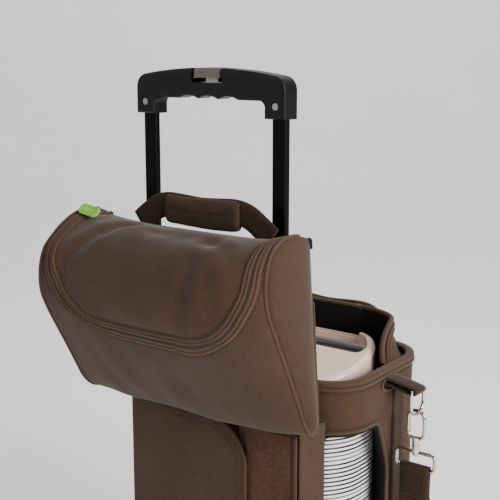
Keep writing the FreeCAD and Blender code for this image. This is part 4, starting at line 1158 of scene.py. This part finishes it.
def strap():
    """Webbing from each frame round the case's sides and low across its back, with its pad."""
    hang = 127.0
    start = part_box("strap_end_right")[0].z / MM
    route = [((173, hang, start + 3), (1.0, 0.0, 0.0)),
             ((173.4, hang + 3, start - 14), (1.0, 0.06, 0.06)),
             ((174, hang + 14, start - 36), (0.9, 0.25, 0.30)),
             ((170, hang + 46, start - 67), (0.55, 0.30, 0.62)),
             ((156, hang + 78, start - 87), (0.15, 0.22, 0.90)),
             ((130, hang + 98, start - 96), (-0.05, 0.06, 1.0)),
             ((96, FAR + 19.4, start - 99), (0.0, 0.0, 1.0)),
             ((50, FAR + 19.4, start - 99), (0.0, 0.0, 1.0)),
             ((0, FAR + 19.4, start - 99), (0.0, 0.0, 1.0))]
    n = 150
    for sign, word in ((1, "right"), (-1, "left")):
        path, across = [], []
        for k in range(n + 1):
            s = (len(route) - 1) * k / n
            p = spline([r[0] for r in route], s)
            w = spline([r[1] for r in route], s)
            path.append(at(sign * p[0], p[1], p[2]))
            across.append(Vector((sign * w[0], w[1], w[2])))
        band_piece = ribbon(f"strap_{word}", path, across, 38, 2.3, MATS["webbing"], rib=4.4)
        settle(band_piece, None, "webbing", "shoulder_strap")
        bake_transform(band_piece)
        frame_z = start + 35
        loop = [(sign * STRAP_X, hang - 1.7, start + 1), (sign * STRAP_X, hang - 1.9, frame_z - 8),
                (sign * STRAP_X, hang - 3.1, frame_z - 3)]
        for k in range(0, 13):
            a = math.radians(200 - 220 * k / 12)
            loop.append((sign * STRAP_X, hang + 3.3 * math.cos(a), frame_z - 1 + 3.3 * math.sin(a)))
        loop += [(sign * STRAP_X, hang + 3.1, frame_z - 4), (sign * STRAP_X, hang + 1.9, frame_z - 9),
                 (sign * STRAP_X, hang + 1.7, start + 1)]
        path = [at(*p) for p in smooth_path(loop, 1.1)]
        end = ribbon(f"strap_fold_{word}", path, [Vector((1, 0, 0))] * len(path), 35, 2.2, MATS["webbing"])
        settle(end, f"frame_{word}", "webbing", f"strap_end_{word}")
        for tag, z in (("a", start + 6), ("b", start + 22)):
            row = [at(sign * STRAP_X - 14 + 28 * k / 20, hang - 3.1, z) for k in range(21)]
            stitches(f"strap_stitch_{word}_{tag}", row, Vector((0, -1, 0)), f"frame_{word}")
        tab = [(137, hang, 352.2), (150, hang, 350.6), (162, hang, 348.4), (171, hang, 346.7),
               (175.4, hang, 345.4), (176.5, hang, 343.3), (175.2, hang, 341.0), (172, hang, 340.4),
               (160, hang, 342.2), (148, hang, 344.6), (137, hang, 346.6)]
        path = [at(sign * p[0], p[1], p[2]) for p in smooth_path(tab, 1.1)]
        across = [Vector((0, 1, 0))] * len(path)
        piece = ribbon(f"ring_tab_{word}", path, across, 21, 2.0, MATS["webbing"], rib=3.3)
        settle(piece, "base", "webbing", "ring_tabs")
    soft_pad("strap_pad", "shoulder_pad", 3.6, 4.0, 4.0, MATS["case_fabric"], "base", "case_fabric")
    low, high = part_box("shoulder_pad")
    c = (low + high) / 2
    for name, inset in (("pad_stitch_outer", 6), ("pad_stitch_inner", 12)):
        row = []
        hx, hz, r = 92 - inset, 29 - inset, max(18 - inset, 5)
        for x, y in plan_path(hx, -hz, hz, r, 2.5):
            row.append(Vector((x * MM, high.y + 0.0012, c.z + y * MM)))
        stitches(name, row, Vector((0, 1, 0)), "base", closed=True)


# ---- pieces that stay as they are --------------------------------------------------------------------
def dress_nodes():
    """Every CAD node that is still shown gets the material of its slot."""
    for entry in frame["record"]["subparts"]:
        obj = frame["nodes"].get(entry["node"])
        if obj is None or obj.hide_render:
            continue
        obj.data.materials.clear()
        obj.data.materials.append(MATS[entry["material_slot"]])


# ---- studio --------------------------------------------------------------------------------------------
# fitted to the photo; focal length and width in the photo's pixels
SENSOR, FOCAL_PX, PHOTO_PX = 36.0, 1030.0, 500.0
CAMERA_TURN = 38.0


def studio():
    """Pale floor that curves up behind, soft lights and the camera."""
    rows = []
    for x in range(-40, 41, 4):
        row = [Vector((x / 10, -3.5 + 0.5 * k, 0)) for k in range(13)]
        for k in range(1, 11):
            a = math.radians(9 * k)
            row.append(Vector((x / 10, 2.5 + 1.2 * math.sin(a), 1.2 - 1.2 * math.cos(a))))
        row += [Vector((x / 10, 3.7, 1.2 + 0.6 * k)) for k in range(1, 6)]
        turn = math.radians(CAMERA_TURN)
        rows.append([Vector((p.x * math.cos(turn) - p.y * math.sin(turn),
                             p.x * math.sin(turn) + p.y * math.cos(turn), p.z)) for p in row])
    mat, tree, shader = material("pale_floor", 0.9)
    where = coordinates(tree)
    ramp(tree, noise_node(tree, where, 3, 2), shader, (0.93, 0.93, 0.93), (0.96, 0.96, 0.96))
    shader.inputs["Emission Color"].default_value = (1, 1, 1, 1)
    shader.inputs["Emission Strength"].default_value = 0.30
    backdrop = make("backdrop", flat(rows), grid(rows), [mat])
    for name, place, target, power, size, colour in (
            ("key", (2.6, -0.55, 1.5), (0.05, 0.0, 0.40), 120, 1.3, (1.0, 0.95, 0.91)),
            ("fill", (-1.9, -2.4, 1.9), (0, 0, 0.40), 26, 2.0, (1.0, 0.97, 0.94)),
            ("over", (0.2, 0.9, 2.9), (0, 0, 0.4), 34, 1.8, (1, 1, 1))):
        light = bpy.data.lights.new(name, "AREA")
        light.energy = power
        light.size = size
        light.color = colour
        lamp = bpy.data.objects.new(name, light)
        scene.collection.objects.link(lamp)
        lamp.location = place
        lamp.rotation_euler = (Vector(target) - Vector(place)).to_track_quat("-Z", "Y").to_euler()
    world = bpy.data.worlds.new("studio_world")
    scene.world = world
    world.use_nodes = True
    back = world.node_tree.nodes["Background"]
    back.inputs[0].default_value = (1, 1, 1, 1)
    back.inputs[1].default_value = 0.26
    cam_data = bpy.data.cameras.new("camera")
    cam = bpy.data.objects.new("camera", cam_data)
    scene.collection.objects.link(cam)
    cam_data.sensor_width = SENSOR
    cam_data.lens = SENSOR * FOCAL_PX / PHOTO_PX
    cam.location = (0.67463, -0.80344 + TUBE_Y * MM, 0.69917)
    cam.rotation_euler = (math.radians(90 - 11.1), 0, math.radians(CAMERA_TURN))
    scene.camera = cam


pouch_lid()
pouch_tub()
zipper()
pouch_seams()
pull_tab()
handle_parts()
tube_loops()
case()
rim()
hood_edges()
windows()
side_bands()
sleeve_and_flaps()
cover()
strap()
dress_nodes()
studio()
